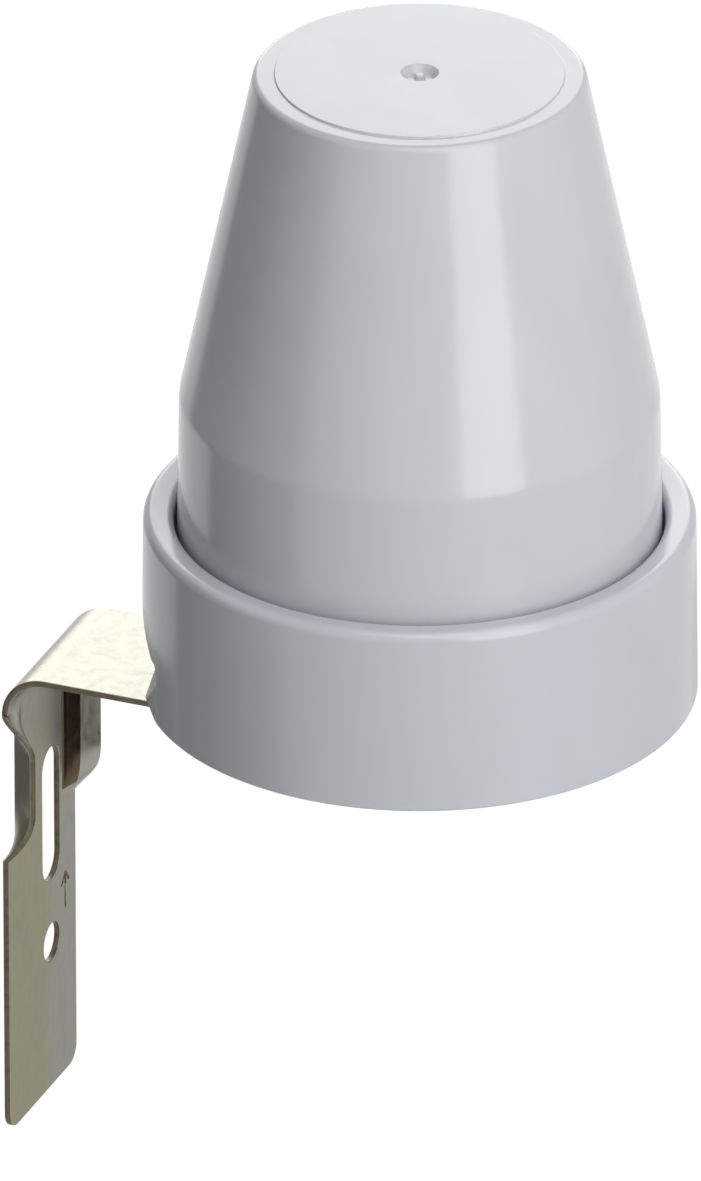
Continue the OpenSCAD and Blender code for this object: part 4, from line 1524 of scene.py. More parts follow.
    def face_slot(self, face: bmesh.types.BMFace) -> int:
        """Material slot of a face of the flat plate.

        Args:
            face: The face.

        Returns:
            0 for the strip's faces, 1 for cut edges, 2 for the arrow and the painted shade in the rear
            wing's fold.
        """
        if abs(face.normal.z) < CUT_EDGE_SLOPE:
            return 1
        middle = face.calc_center_median()
        stamped = self.stamp(middle.x, middle.y) > self.stamp_depth * STAMPED_SHARE
        # slot 2 paints shade into the rear wing's fold and also colours the stamped arrow
        return 2 if face.normal.z < 0 and (stamped or self.in_fold_shade(middle)) else 0

    def build(self) -> None:
        """Make the bracket and hand it over."""
        strip = self.flat_plate()
        edit = bmesh.new()
        edit.from_mesh(strip.data)
        self.slice_plate(edit)
        edit.normal_update()
        for face in edit.faces:
            face.material_index = self.face_slot(face)
        for vertex in edit.verts:
            flat = vertex.co.copy()
            if flat.z < -self.sheet * 0.45:
                flat.z += self.stamp(flat.x, flat.y)
            vertex.co = self.bend_point(flat)
        bmesh.ops.recalc_face_normals(edit, faces=edit.faces)
        edit.to_mesh(strip.data)
        edit.free()
        self.deliver(weigh_normals(strip), 38, "bracket_steel", (STEEL_STRIP, CUT_EDGE, FOLD_SHADE_AND_ARROW),
                     "wall_bracket")


@dataclass
class PivotStack(SubAssembly):
    """The screw, washers, pad and nut that hold the base on the strip."""

    head_r: float = 4 * MM
    head_h: float = 2.6 * MM
    dome: float = 0.6  # rounding of the head as a share of its height
    shank_r: float = 2 * MM
    pitch: float = 0.7 * MM
    thread_depth: float = 0.32 * MM
    drive_w: float = 1.1 * MM  # width of the arms of the cross recess
    drive_span: float = 4.6 * MM
    drive_depth: float = 1.4 * MM
    bore_r: float = 2.15 * MM
    split_deg: float = 14  # width of the spring washer's split
    spring_rise: float = 0.18 * MM  # how much one end of the spring washer stands above the other
    spring_steps: int = 72  # steps round the spring washer
    chamfer: float = 0.7  # height of the nut's chamfer as a share of its corners' reach
    edge: float = 0.12 * MM

    def build_screw(self) -> None:
        """Make the screw with its domed head, cross recess and thread."""
        space = node_box("pivot_screw")
        head = drum("pivot_screw_head", space.foot, self.head_r, 0, self.head_h,
                    (self.head_h * self.dome, self.edge), segments=96, steps=10)
        cut_cross(head, space.foot, self.drive_span, self.drive_w, self.drive_depth)
        start = self.head_h - self.edge
        rod = threaded_rod("thread", self.shank_r, self.thread_depth, self.pitch,
                           space.foot + Vector((0, 0, start)), space.size.z - start)
        screw = merge("pivot_screw_cross_head", [head, rod])
        self.deliver(screw, 30, "zinc_hardware", ZINC, "pivot_screw")

    def ring_section(self, outer: float, height: float, steps: int) -> list[Point]:
        """Section of a punched ring round the screw."""
        return rounded([(self.bore_r, 0, self.edge), (outer, 0, self.edge),
                        (outer, height, self.edge), (self.bore_r, height, self.edge)], steps)

    def build_ring(self, node: str, name: str, slot: str, finish: Finish, steps: int) -> None:
        """Make one punched ring.

        Args:
            node: Its CAD node.
            name: Name of the piece.
            slot: The record's material slot.
            finish: Its finish.
            steps: Flat steps of its rounded edges.
        """
        space = node_box(node)
        ring = lathe(name, self.ring_section(space.size.x / 2, space.size.z, steps), space.foot)
        self.deliver(ring, 50, slot, finish, node)

    def build_spring(self) -> None:
        """Make the split spring washer."""
        space = node_box("spring_washer")
        section = self.ring_section(space.size.y / 2, space.size.z - self.spring_rise, 3)
        rings = []
        for share in shares(self.spring_steps):
            turn = math.radians(self.split_deg / 2 + (360 - self.split_deg) * share)
            rise = self.spring_rise * share
            rings.append([space.foot + Vector((r * math.cos(turn), r * math.sin(turn), z + rise))
                          for r, z in section])
        self.deliver(skin("spring_washer_split", rings), 50, "zinc_hardware", ZINC, "spring_washer")

    def build_nut(self) -> None:
        """Make the hexagon nut with chamfered corners."""
        space = node_box("pivot_nut")
        foot, height = space.foot, space.size.z
        corner_r = max(space.size.x, space.size.y) / 2
        flat_r = corner_r * math.cos(math.pi / 6)
        nut = prism("pivot_nut_hexagon", circle(corner_r, 6, foot.xy), space.lo.z, space.hi.z)
        slope = (corner_r - flat_r) * self.chamfer
        past_r = corner_r + self.edge
        barrel = [(0, 0), (flat_r, 0), (past_r, slope),
                  (past_r, height - slope), (flat_r, height), (0, height)]
        carve(nut, lathe("barrel", barrel, foot), Cut.KEEP)
        mouth = self.edge * 2
        mouth_r, past = self.shank_r + mouth, height + self.edge
        bore = [(0, -self.edge), (mouth_r, -self.edge), (self.shank_r, mouth),
                (self.shank_r, height - mouth), (mouth_r, past), (0, past)]
        carve(nut, lathe("bore", bore, foot, segments=48))
        self.deliver(nut, 30, "zinc_hardware", ZINC, "pivot_nut")

    def build(self) -> None:
        """Make every piece of the stack."""
        self.build_screw()
        self.build_ring("flat_washer", "flat_washer_punched", "zinc_hardware", ZINC, 4)
        self.build_spring()
        self.build_ring("friction_pad", "friction_pad_fibre", "red_fibre", RED_FIBRE, 3)
        self.build_nut()


@dataclass
class Seals(SubAssembly):
    """The rubber pieces: the cap's seal ring and the cable grommet."""

    ring_w: float = 2.3 * MM
    lip: float = 0.25 * MM  # height of its two lips
    lip_inset: float = 0.12  # where the lips start, as a share of its width
    lip_steps: int = 24
    bore_r: float = 3.6 * MM
    neck_r: float = 5.8 * MM
    top_t: float = 1.4 * MM
    floor_t: float = 2.5 * MM
    edge: float = 0.35 * MM

    def build_ring(self) -> None:
        """Make the seal ring, with two soft lips on its upper face."""
        space = node_box("seal_ring")
        outer, high = space.size.x / 2, space.size.z
        inner = outer - self.ring_w
        lips: list[Corner] = []
        for share in shares(self.lip_steps):
            dip = self.lip * (0.5 - 0.5 * math.cos(math.tau * 2 * share))
            inward = self.ring_w * (self.lip_inset + (1 - 2 * self.lip_inset) * share)
            lips.append((outer - inward, high - dip, 0))
        outline = rounded([
            (outer, 0, self.edge), (outer, high - self.lip, self.edge / 4), *lips,
            (inner, high - self.lip, self.edge / 4), (inner, 0, self.edge),
        ], steps=4)
        ring = lathe("seal_ring_with_lips", outline, space.foot, segments=160)
        self.deliver(ring, 45, "black_rubber", BLACK_RUBBER, "seal_ring")

    def build_grommet(self) -> None:
        """Make the grommet, with its flanges, neck and tapered nose."""
        space = node_box("cable_grommet")
        flange_r, top = space.size.x / 2, space.size.z
        floor = top - self.top_t - self.floor_t
        outline = rounded([
            (self.bore_r, 0, self.edge),
            (self.neck_r - self.edge, 0, self.edge),
            (self.neck_r, floor - self.top_t, self.edge),
            (flange_r, floor - self.top_t * 0.75, self.edge),
            (flange_r, floor, self.edge / 2),
            (self.neck_r, floor, 0),
            (self.neck_r, floor + self.floor_t, 0),
            (flange_r, floor + self.floor_t, self.edge / 2),
            (flange_r, top - self.edge, self.edge),
            (self.bore_r + self.top_t / 2, top, self.edge),
            (self.bore_r, top - self.edge, self.edge / 2),
        ], steps=6)
        grommet = lathe("cable_grommet_moulded", outline, space.foot)
        self.deliver(grommet, 40, "black_rubber", BLACK_RUBBER, "cable_grommet")

    def build(self) -> None:
        """Make the seal ring and the grommet."""
        self.build_ring()
        self.build_grommet()


@dataclass
class CircuitBoard(SubAssembly):
    """The round board with its printed marks, tracks, screws, eyelets and solder."""

    print_w: float = 0.2 * MM
    print_t: float = 0.02 * MM
    rim_inset: float = 1.2 * MM  # distance of the printed rim from the board's edge
    frame_gap: float = 0.55 * MM  # distance of a printed frame from its part
    round_gap: float = 0.6 * MM  # distance of a printed circle from its part
    # nodes with a printed frame
    framed: tuple[str, ...] = ("relay_base", "film_capacitor", "rectifier_diodes", "zener_diode",
                               "resistors", "power_resistor", "varistor", "transistors")
    circled: tuple[str, ...] = ("electrolytic_capacitor", "photocell_tower")  # nodes with a printed circle
    track_w: float = 1.1 * MM
    track_t: float = 0.05 * MM
    pad_over: float = 0.35 * MM  # how far a pad reaches past its solder
    cone_tip: float = 0.36  # radius of a solder cone's tip as a share of its foot's
    cone_curve: float = 2.4  # how hollow a solder cone's side is
    screw_r: float = 2.6 * MM  # radius of the board screws' heads
    screw_h: float = 1.9 * MM
    drive_w: float = 0.7 * MM  # width of the arms of the screws' cross recess
    drive_depth: float = 1 * MM
    core_r: float = 1.3 * MM
    thread_depth: float = 0.28 * MM
    pitch: float = 1 * MM
    edge: float = 0.1 * MM

    def printed_ring(self, space: Box, radius: float, top: float, steps: int) -> Piece:
        """One printed circle."""
        outer, inner = (circle(r, steps, space.centre.xy) for r in (radius, radius - self.print_w))
        return frame_band("round_mark", outer, inner, top, top + self.print_t)

    def build_print(self, board: Box) -> None:
        """Print the outline of each part beside it on the board.

        Args:
            board: The board's box.
        """
        top = board.hi.z
        marks = [self.printed_ring(board, board.size.x / 2 - self.rim_inset, top, 120)]
        for space in (box for node in self.framed for box in solid_boxes(node)):
            outer, inner = (rectangle(space.lo, space.hi, self.frame_gap, out)
                            for out in (self.frame_gap, self.frame_gap - self.print_w))
            marks.append(frame_band("frame_mark", outer, inner, top, top + self.print_t))
        for space in (box for node in self.circled for box in solid_boxes(node)):
            marks.append(self.printed_ring(space, space.size.x / 2 + self.round_gap, top, 64))
        self.deliver(merge("board_print", marks), None, "board_laminate", PRINT_PALE)

    def build_tracks(self, board: Box, joints: list[Box]) -> None:
        """Lay pads and tracks on the board's underside.

        Args:
            board: The board's box.
            joints: The solder joints' boxes.
        """
        low, high = board.lo.z - self.track_t, board.lo.z
        pieces = []
        for joint in joints:
            radius = joint.size.x / 2
            outer, inner = (circle(r, 32, joint.centre.xy) for r in (radius + self.pad_over, radius / 2))
            pieces.append(frame_band("pad", outer, inner, low, high))
        for joint in joints:
            near = sorted(joints, key=lambda j: (j.centre - joint.centre).length)[2]
            start, end = joint.centre.xy, near.centre.xy
            along = (end - start).normalized()
            start, end = start + along * joint.size.x / 2, end - along * near.size.x / 2
            pieces.append(strip_run("track", start, end, self.track_w / 2, low, high - self.track_t / 4))
        self.deliver(merge("board_tracks", pieces), None, "solder", COPPER)

    def build_joints(self, joints: list[Box]) -> None:
        """Make a hollow cone of solder at each lead.

        Args:
            joints: Their boxes.
        """
        cones = []
        blunt = 0.08
        for joint in joints:
            foot_r, height = joint.size.x / 2, joint.size.z
            tip = foot_r * self.cone_tip
            outline = [(0, 0), (tip * 0.7, 0), (tip, height * blunt)]
            for share in shares(8)[1:]:
                outline.append((tip + (foot_r - tip) * share ** self.cone_curve,
                                height * (blunt + (1 - blunt) * share)))
            outline.append((0, height))
            cones.append(lathe("cone", outline, joint.foot, segments=20))
        self.deliver(merge("solder_joints_cones", cones), 60, "solder", SOLDER, "solder_joints")

    def build_screws(self) -> None:
        """Make the three pan-head screws with their threads."""
        pieces = []
        for space in solid_boxes("board_screws"):
            foot = space.at(space.hi.z - self.screw_h)
            soft = (self.edge, self.screw_h * 0.6)
            head = drum("head", foot, self.screw_r, 0, self.screw_h, soft, steps=8)
            cut_cross(head, foot + Vector((0, 0, self.screw_h)), self.screw_r * 1.15, self.drive_w,
                      -self.drive_depth)
            rod = threaded_rod("rod", self.core_r, self.thread_depth, self.pitch, space.foot,
                               foot.z - space.lo.z + self.edge / 2)
            pieces += [head, rod]
        self.deliver(merge("board_screws_pan_head", pieces), 30, "zinc_hardware", ZINC, "board_screws")

    def build_eyelets(self) -> None:
        """Make the tubular eyelets with their rolled flanges."""
        pieces = []
        for space in solid_boxes("wire_eyelets"):
            flange, height = space.size.x / 2, space.size.z
            bore, body, lip = flange * 0.47, flange * 0.76, height * 0.06
            rim = lip * 2.2
            pieces.append(lathe("eyelet", rounded([
                (bore, 0, lip), (flange, 0, lip), (flange, rim, lip), (body, rim, 0),
                (body, height - rim, 0), (flange, height - rim, lip), (flange, height, lip),
                (bore, height, lip),
            ], steps=5), space.foot, segments=48))
        self.deliver(merge("wire_eyelets_rolled", pieces), 40, "tinned_wire", TINNED, "wire_eyelets")

    def build(self) -> None:
        """Make the board and what fastens to it."""
        board = node_box("circuit_board")
        joints = solid_boxes("solder_joints")
        self.shop.repaint("circuit_board", BOARD_TAN)
        self.build_print(board)
        self.build_tracks(board, joints)
        self.build_joints(joints)
        self.build_screws()
        self.build_eyelets()


@dataclass
class BoxedParts(SubAssembly):
    """The relay and the film capacitor."""

    edge: float = 0.45 * MM
    groove: float = 0.18 * MM  # depth of the marks in the relay
    inset: float = 1.6 * MM  # distance of the line in its top from the case's sides
    line: float = 0.3 * MM
    vent_r: float = 0.9 * MM  # radius of the vent nub's recess
    latch_half: float = 2 * MM  # half the length of a latch window
    latch_z: Point = (0.8 * MM, 2.4 * MM)  # lower and upper edge of the latch windows
    foot: float = 0.5 * MM  # height of the capacitor's feet
    foot_w: float = 2.5 * MM  # length of its feet
    tool_corner: float = 0.05 * MM  # rounding of the cutting tools

    def build_relay(self) -> None:
        """Make the relay's case, with a framed top, a vent and a latch window on each side."""
        space = node_box("relay_case")
        case = block("relay_case_moulded", space.lo, space.hi, self.edge * 2)
        levels = (-self.inset, -self.inset - self.line)
        outer, inner = (rectangle(space.lo, space.hi, self.edge, out) for out in levels)
        bottom = space.hi.z - self.groove
        carve(case, frame_band("line", outer, inner, bottom, space.hi.z + self.line))
        vent = Vector((space.hi.x - self.inset * 1.9, space.lo.y + self.inset * 1.9, bottom))
        carve(case, drum("vent", vent, self.vent_r, 0, self.line * 2, segments=32))
        low, high = self.latch_z
        for side in (space.lo.y, space.hi.y):
            lo = Vector((space.centre.x - self.latch_half, side - self.groove, space.lo.z + low))
            hi = Vector((space.centre.x + self.latch_half, side + self.groove, space.lo.z + high))
            carve(case, block("latch", lo, hi, self.tool_corner))
        self.deliver(soften(case, self.edge * 0.6), None, "relay_case_blue", RELAY_BLUE, "relay_case")
        self.shop.repaint("relay_base", RELAY_DARK)
        self.shop.repaint("relay_pins", TINNED)

    def build_film(self) -> None:
        """Make the film capacitor's box on its small feet."""
        space = node_box("film_capacitor")
        body = block("film_capacitor_box", space.lo, space.hi, self.edge)
        lo = space.lo + Vector((self.foot_w, -self.edge, -self.edge))
        hi = Vector((space.hi.x - self.foot_w, space.hi.y + self.edge, space.lo.z + self.foot))
        carve(body, block("channel", lo, hi, self.tool_corner))
        self.deliver(soften(body, self.edge), None, "film_box_yellow", FILM_YELLOW, "film_capacitor")

    def build(self) -> None:
        """Make the relay and the film capacitor."""
        self.build_relay()
        self.build_film()


@dataclass
class RoundParts(SubAssembly):
    """The electrolytic capacitor, the varistor and the transistors."""

    sleeve_t: float = 0.18 * MM
    sleeve_open: float = 0.78  # radius of the open top as a share of the can's
    stripe_deg: float = 44  # width of the sleeve's stripe
    vent_w: float = 0.3 * MM  # width of the score lines in the can's top
    disc_t: float = 0.4 * MM  # depth to which the can's top reaches
    disc_gap: float = 0.02 * MM  # gap round the can's top
    coat: float = 0.75 * MM  # radius of the varistor's coat round its leads
    coat_end: float = 0.05 * MM  # height of the coat's end above its box
    step_share: float = 0.62  # height of the step in a transistor as a share of its own
    step_t: float = 0.1 * MM
    edge: float = 0.12 * MM

    def build_can(self) -> None:
        """Make the electrolytic capacitor: sleeve, stripe, groove and scored top."""
        space = node_box("electrolytic_capacitor")
        radius, height = space.size.x / 2, space.size.z
        inner = radius * self.sleeve_open
        groove = height * 0.16
        top = height - self.sleeve_t * 1.5
        sleeve = lathe("sleeve", rounded([
            (0, 0, 0),
            (radius * 0.97, 0, radius / 8),
            (radius, groove - radius / 4, radius / 10),
            (radius * 0.93, groove, radius / 7),
            (radius, groove + radius / 4, radius / 10),
            (radius, height, radius / 9),
            (inner, height, self.sleeve_t / 2),
            (inner, top, 0),
            (0, top, 0),
        ], steps=8), space.foot)
        half = math.radians(self.stripe_deg / 2)
        for polygon in sleeve.data.polygons:
            place = polygon.center - space.foot
            if place.xy.length > inner and abs(math.atan2(place.y, place.x)) < half:
                polygon.material_index = 1
        face = top + self.sleeve_t * 0.6
        disc = drum("disc", space.foot, inner - self.disc_gap, top - self.disc_t, face,
                    (0, self.sleeve_t / 3))
        cut_cross(disc, space.foot + Vector((0, 0, face)), inner * 1.5, self.vent_w, -self.sleeve_t * 0.8)
        mark(disc, 2)
        self.deliver(merge("electrolytic_can", [sleeve, disc]), 35, "can_sleeve",
                     (SLEEVE_NAVY, PRINT_PALE, CAN_END), "electrolytic_capacitor")

    def build_varistor(self) -> None:
        """Make the varistor: a dipped disc whose coat runs down onto its leads."""
        space = node_box("varistor")
        radius, half = min(space.size.x, space.size.z) / 2, space.size.y / 2
        middle = space.at(space.hi.z - radius)
        section = [(radius * 0.86, half * 0.92, half * 0.6), (radius, half * 0.2, half * 0.3)]
        outline = rounded([(0, -half, 0), *((r, -z, soft) for r, z, soft in section),
                           *reversed(section), (0, half, 0)], 8)
        pieces = [lathe("disc", outline, middle, 72, Matrix.Rotation(math.radians(90), 3, "X"))]
        for lead in solid_boxes("varistor_leads"):
            top = Vector((lead.centre.x, space.centre.y, middle.z))
            end = Vector((lead.centre.x, lead.centre.y, space.lo.z + self.coat_end))
            thin = self.coat - lead.size.x / 2 * 1.05
            pieces.append(tube("runs", [top.lerp(end, share) for share in shares(12)],
                               lambda share, thin=thin: self.coat - thin * share ** 2, 20))
        self.deliver(merge("varistor_dipped", pieces), 50, "varistor_blue", EPOXY_BLUE, "varistor")

    def build_transistors(self) -> None:
        """Make the transistors: half-round bodies with a flat face and a small step."""
        pieces = []
        for space in solid_boxes("transistors"):
            radius = space.size.x / 2
            flat, centre = space.lo.y, Vector((space.centre.x, space.hi.y - radius))
            start = math.asin((centre.y - flat) / radius)
            turns = [(math.pi + 2 * start) * share - start for share in shares(36)]
            outline = [(centre.x + radius * math.cos(a), centre.y + radius * math.sin(a)) for a in turns]
            body = prism("body", outline, space.lo.z, space.hi.z)
            lo = Vector((space.lo.x - radius, flat - radius, space.lo.z + space.size.z * self.step_share))
            hi = Vector((space.hi.x + radius, flat + self.step_t, space.hi.z + radius))
            carve(body, block("step", lo, hi, self.step_t * 0.3))
            settle(soften(body, self.edge, 35, 2))
            pieces.append(body)
        bodies = merge("transistors_moulded", pieces)
        self.deliver(bodies, 35, "component_black", BLACK_EPOXY, "transistors")

    def build(self) -> None:
        """Make all three kinds."""
        self.build_can()
        self.build_varistor()
        self.build_transistors()


@dataclass(frozen=True)
class AxialKind:
    """One kind of part with a body on the line of its leads."""

    node: str
    piece: str  # name of the finished piece
    slot: str  # the record's material slot
    finishes: tuple[Finish, ...]  # body finish first, then those of the bands
    # bands as (start, end, finish number), in shares of the length
    bands: tuple[tuple[float, float, int], ...]
    waist: float = 1  # radius between the end caps, as a share of theirs
    cap_share: float = 0.22  # length of each end cap as a share of the body's
    rounding: float = 0.25  # rounding of the ends as a share of the radius


@dataclass
class AxialParts(SubAssembly):
    """Diodes, resistors and their bent leads."""

    kinds: tuple[AxialKind, ...] = (
        AxialKind("rectifier_diodes", "rectifier_diodes_banded", "component_black",
                  (BLACK_EPOXY, PRINT_PALE), ((0.74, 0.88, 1),)),
        AxialKind("zener_diode", "zener_diode_glass", "zener_glass",
                  (ZENER_GLASS, BAND_BLACK), ((0.74, 0.9, 1),), rounding=0.6),
        AxialKind("resistors", "resistors_banded", "resistor_body",
                  (RESISTOR_BEIGE, BAND_BROWN, BAND_BLACK, BAND_ORANGE, BAND_GOLD),
                  ((0.12, 0.2, 1), (0.34, 0.42, 2), (0.5, 0.58, 3), (0.8, 0.88, 4)), 0.84),
        AxialKind("power_resistor", "power_resistor_cement", "power_body",
                  (CEMENT_GREY, BAND_BROWN, BAND_BLACK, BAND_GOLD),
                  ((0.14, 0.21, 1), (0.32, 0.39, 2), (0.8, 0.87, 3)), 0.9),
    )
    body_steps: int = 50
    wire_r: float = 0.35 * MM
    bend_r: float = 0.8 * MM
    bend_steps: int = 8

    def body_radius(self, kind: AxialKind, radius: float, length: float, share: float) -> float:
        """Radius of a body at a share of its length.

        Args:
            kind: The kind of part.
            radius: Its greatest radius.
            length: Its length.
            share: The share.

        Returns:
            The radius there.
        """
        near_end = min(share, 1 - share) * length
        soft = radius * kind.rounding
        round_off = soft - math.sqrt(soft ** 2 - (soft - near_end) ** 2) if near_end < soft else 0.0
        past_cap = (near_end / length - kind.cap_share * 0.75) / (kind.cap_share * 0.5)
        return radius - round_off - radius * (1 - kind.waist) * smooth(past_cap)

    def axial_body(self, kind: AxialKind, space: Box) -> Piece:
        """One body with its bands.

        Args:
            kind: The kind of part.
            space: Its box.

        Returns:
            The body.
        """
        axis = 0 if space.size.x > space.size.y else 1
        length, radius = space.size[axis], space.size.z / 2
        turn = Matrix.Rotation(math.radians((90, -90)[axis]), 3, "YX"[axis])
        outline = [(0.0, -length / 2)]
        for share in shares(self.body_steps):
            outline.append((self.body_radius(kind, radius, length, share), length * (share - 0.5)))
        made = lathe("body", [*outline, (0.0, length / 2)], space.centre, 48, turn)
        for polygon in made.data.polygons:
            share = (polygon.center[axis] - space.lo[axis]) / length
            for start, end, number in kind.bands:
                if start <= share <= end:
                    polygon.material_index = number
        return made

    def bent_lead(self, space: Box, body: Box) -> Piece:
        """One lead: out of the body, round the bend and down through the board.

        Args:
            space: The lead's box.
            body: The box of the body that it leaves.

        Returns:
            The wire.
        """
        axis = 0 if space.size.x > space.size.y else 1
        side = 1 if space.centre[axis] > body.centre[axis] else -1
        near, far = (space.lo, space.hi) if side > 0 else (space.hi, space.lo)
        out, rise = Vector((0, 0, 0)), Vector((0, 0, self.bend_r))
        out[axis] = side * self.bend_r
        corner = space.at(body.centre.z)
        corner[axis] = far[axis] - side * self.wire_r
        start = corner.copy()
        start[axis] = near[axis]
        path = [start, start.lerp(corner - out, 0.5)]
        for turn in (math.pi / 2 * share for share in shares(self.bend_steps)):
            path.append(corner - out - rise + out * math.sin(turn) + rise * math.cos(turn))
        path.append(Vector((corner.x, corner.y, space.lo.z)))
        return tube("lead", path, self.wire_r)

    def build(self) -> None:
        """Make the bodies and their leads."""
        bodies: list[Box] = []
        for kind in self.kinds:
            boxes = solid_boxes(kind.node)
            bodies += boxes
            piece = merge(kind.piece, [self.axial_body(kind, space) for space in boxes])
            self.deliver(piece, 35, kind.slot, kind.finishes, kind.node)
        wires = []
        for space in solid_boxes("axial_leads"):
            wires.append(self.bent_lead(space, min(bodies, key=lambda b: (b.centre - space.centre).length)))
        self.deliver(merge("axial_leads_bent", wires), 60, "tinned_wire", TINNED, "axial_leads")


@dataclass
class StraightLeads(SubAssembly):
    """The straight leads of the upright parts."""

    # their CAD nodes
    nodes: tuple[str, ...] = ("film_capacitor_leads", "electrolytic_leads", "varistor_leads",
                              "transistor_leads", "photocell_leads")
    steps: int = 6

    def build(self) -> None:
        """Make each node's wires, with clipped ends."""
        for node in self.nodes:
            wires = []
            for space in solid_boxes(node):
                path = [space.foot.lerp(space.at(space.hi.z), share) for share in shares(self.steps)]
                wires.append(tube("wire", path, space.size.x / 2))
            self.deliver(merge(node + "_wire", wires), 60, "tinned_wire", TINNED, node)


@dataclass
class PhotocellTower(SubAssembly):
    """The photocell and the tower that lifts it into the cap's cone."""

    track_w: float = 0.26 * MM  # width of the cell's winding track
    track_t: float = 0.04 * MM  # how far the track stands out
    turns: int = 6  # how many runs the track has
    window: float = 0.74  # radius of the track's field as a share of the cell's
    waist: float = 0.8  # radius of the tower's shaft as a share of its foot's
    slot_w: float = 0.7 * MM
    slot_z: Point = (0.2, 0.85)  # lower and upper end of the slot, as shares of the height
    slot_t: float = 0.35 * MM
    slot_corner: float = 0.02 * MM
    edge: float = 0.15 * MM
    soft: float = 0.3 * MM  # rounding of the foot's and the head's inner edges
    blend: float = 0.4 * MM  # rounding of the shaft's ends

    def build_tower(self) -> None:
        """Make the tower: a slotted shaft with a foot and a head."""
        space = node_box("photocell_tower")
        foot_r, height = space.size.x / 2, space.size.z
        cell_r = node_box("photocell").size.x / 2
        shaft_r, step = foot_r * self.waist, foot_r / 2
        outline = rounded([
            (0, 0, 0), (foot_r, 0, self.edge), (foot_r, step, self.soft),
            (shaft_r, step * 1.6, self.blend), (shaft_r, height - step, self.blend),
            (cell_r, height - step / 2, self.soft), (cell_r, height, self.edge), (0, height, 0),
        ], steps=6)
        tower = lathe("photocell_tower_shaft", outline, space.foot, segments=80)
        lo = space.foot + Vector((-self.slot_w / 2, -foot_r * 2, height * self.slot_z[0]))
        hi = space.foot + Vector((self.slot_w / 2, self.slot_t - shaft_r, height * self.slot_z[1]))
        carve(tower, block("slot", lo, hi, self.slot_corner))
        self.deliver(tower, 35, "tower_white", TOWER_WHITE, "photocell_tower")

    def build_cell(self) -> None:
        """Make the photocell: a small disc with a winding track."""
        space = node_box("photocell")
        radius, height = space.size.x / 2, space.size.z
        face = height - self.track_t
        disc = drum("disc", space.foot, radius, 0, face, (height / 6, height / 5),
                    segments=72, steps=6)
        flat = radius * self.window
        path: list[Vector] = []
        for i in range(self.turns):
            y = flat * (2 * (i + 0.5) / self.turns - 1)
            reach = math.sqrt(max(0.0, flat ** 2 - y ** 2)) * (1 if i % 2 else -1)
            path += [space.foot.xy + Vector((x, y)) for x in (reach, -reach)]
        level = space.foot.z + face
        runs = []
        for start, end in zip(path, path[1:]):
            over = (end - start).normalized() * self.track_w / 2
            runs.append(strip_run("run", start - over, end + over, self.track_w / 2,
                                  level - self.track_t, level + self.track_t))
        track = merge("track", runs)
        mark(track, 1)
        self.deliver(merge("photocell_disc", [disc, track]), 40, "photocell_face",
                     (CELL_FACE, CELL_TRACK), "photocell")

    def build(self) -> None:
        """Make the tower and the photocell."""
        self.build_tower()
        self.build_cell()


@dataclass(frozen=True)
class Panel:
    """A soft lamp, or a card that only reflections show."""

    name: str
    azimuth: float  # its direction from what it faces, in degrees
    elevation: float  # its height above the horizon, in degrees
    distance: float  # its distance from what it faces
    size: Point  # width and height of its face
    light: float  # brightness of its face, where 1 is white
    aim: Corner | None = None  # the point that it faces, or None for the camera's target


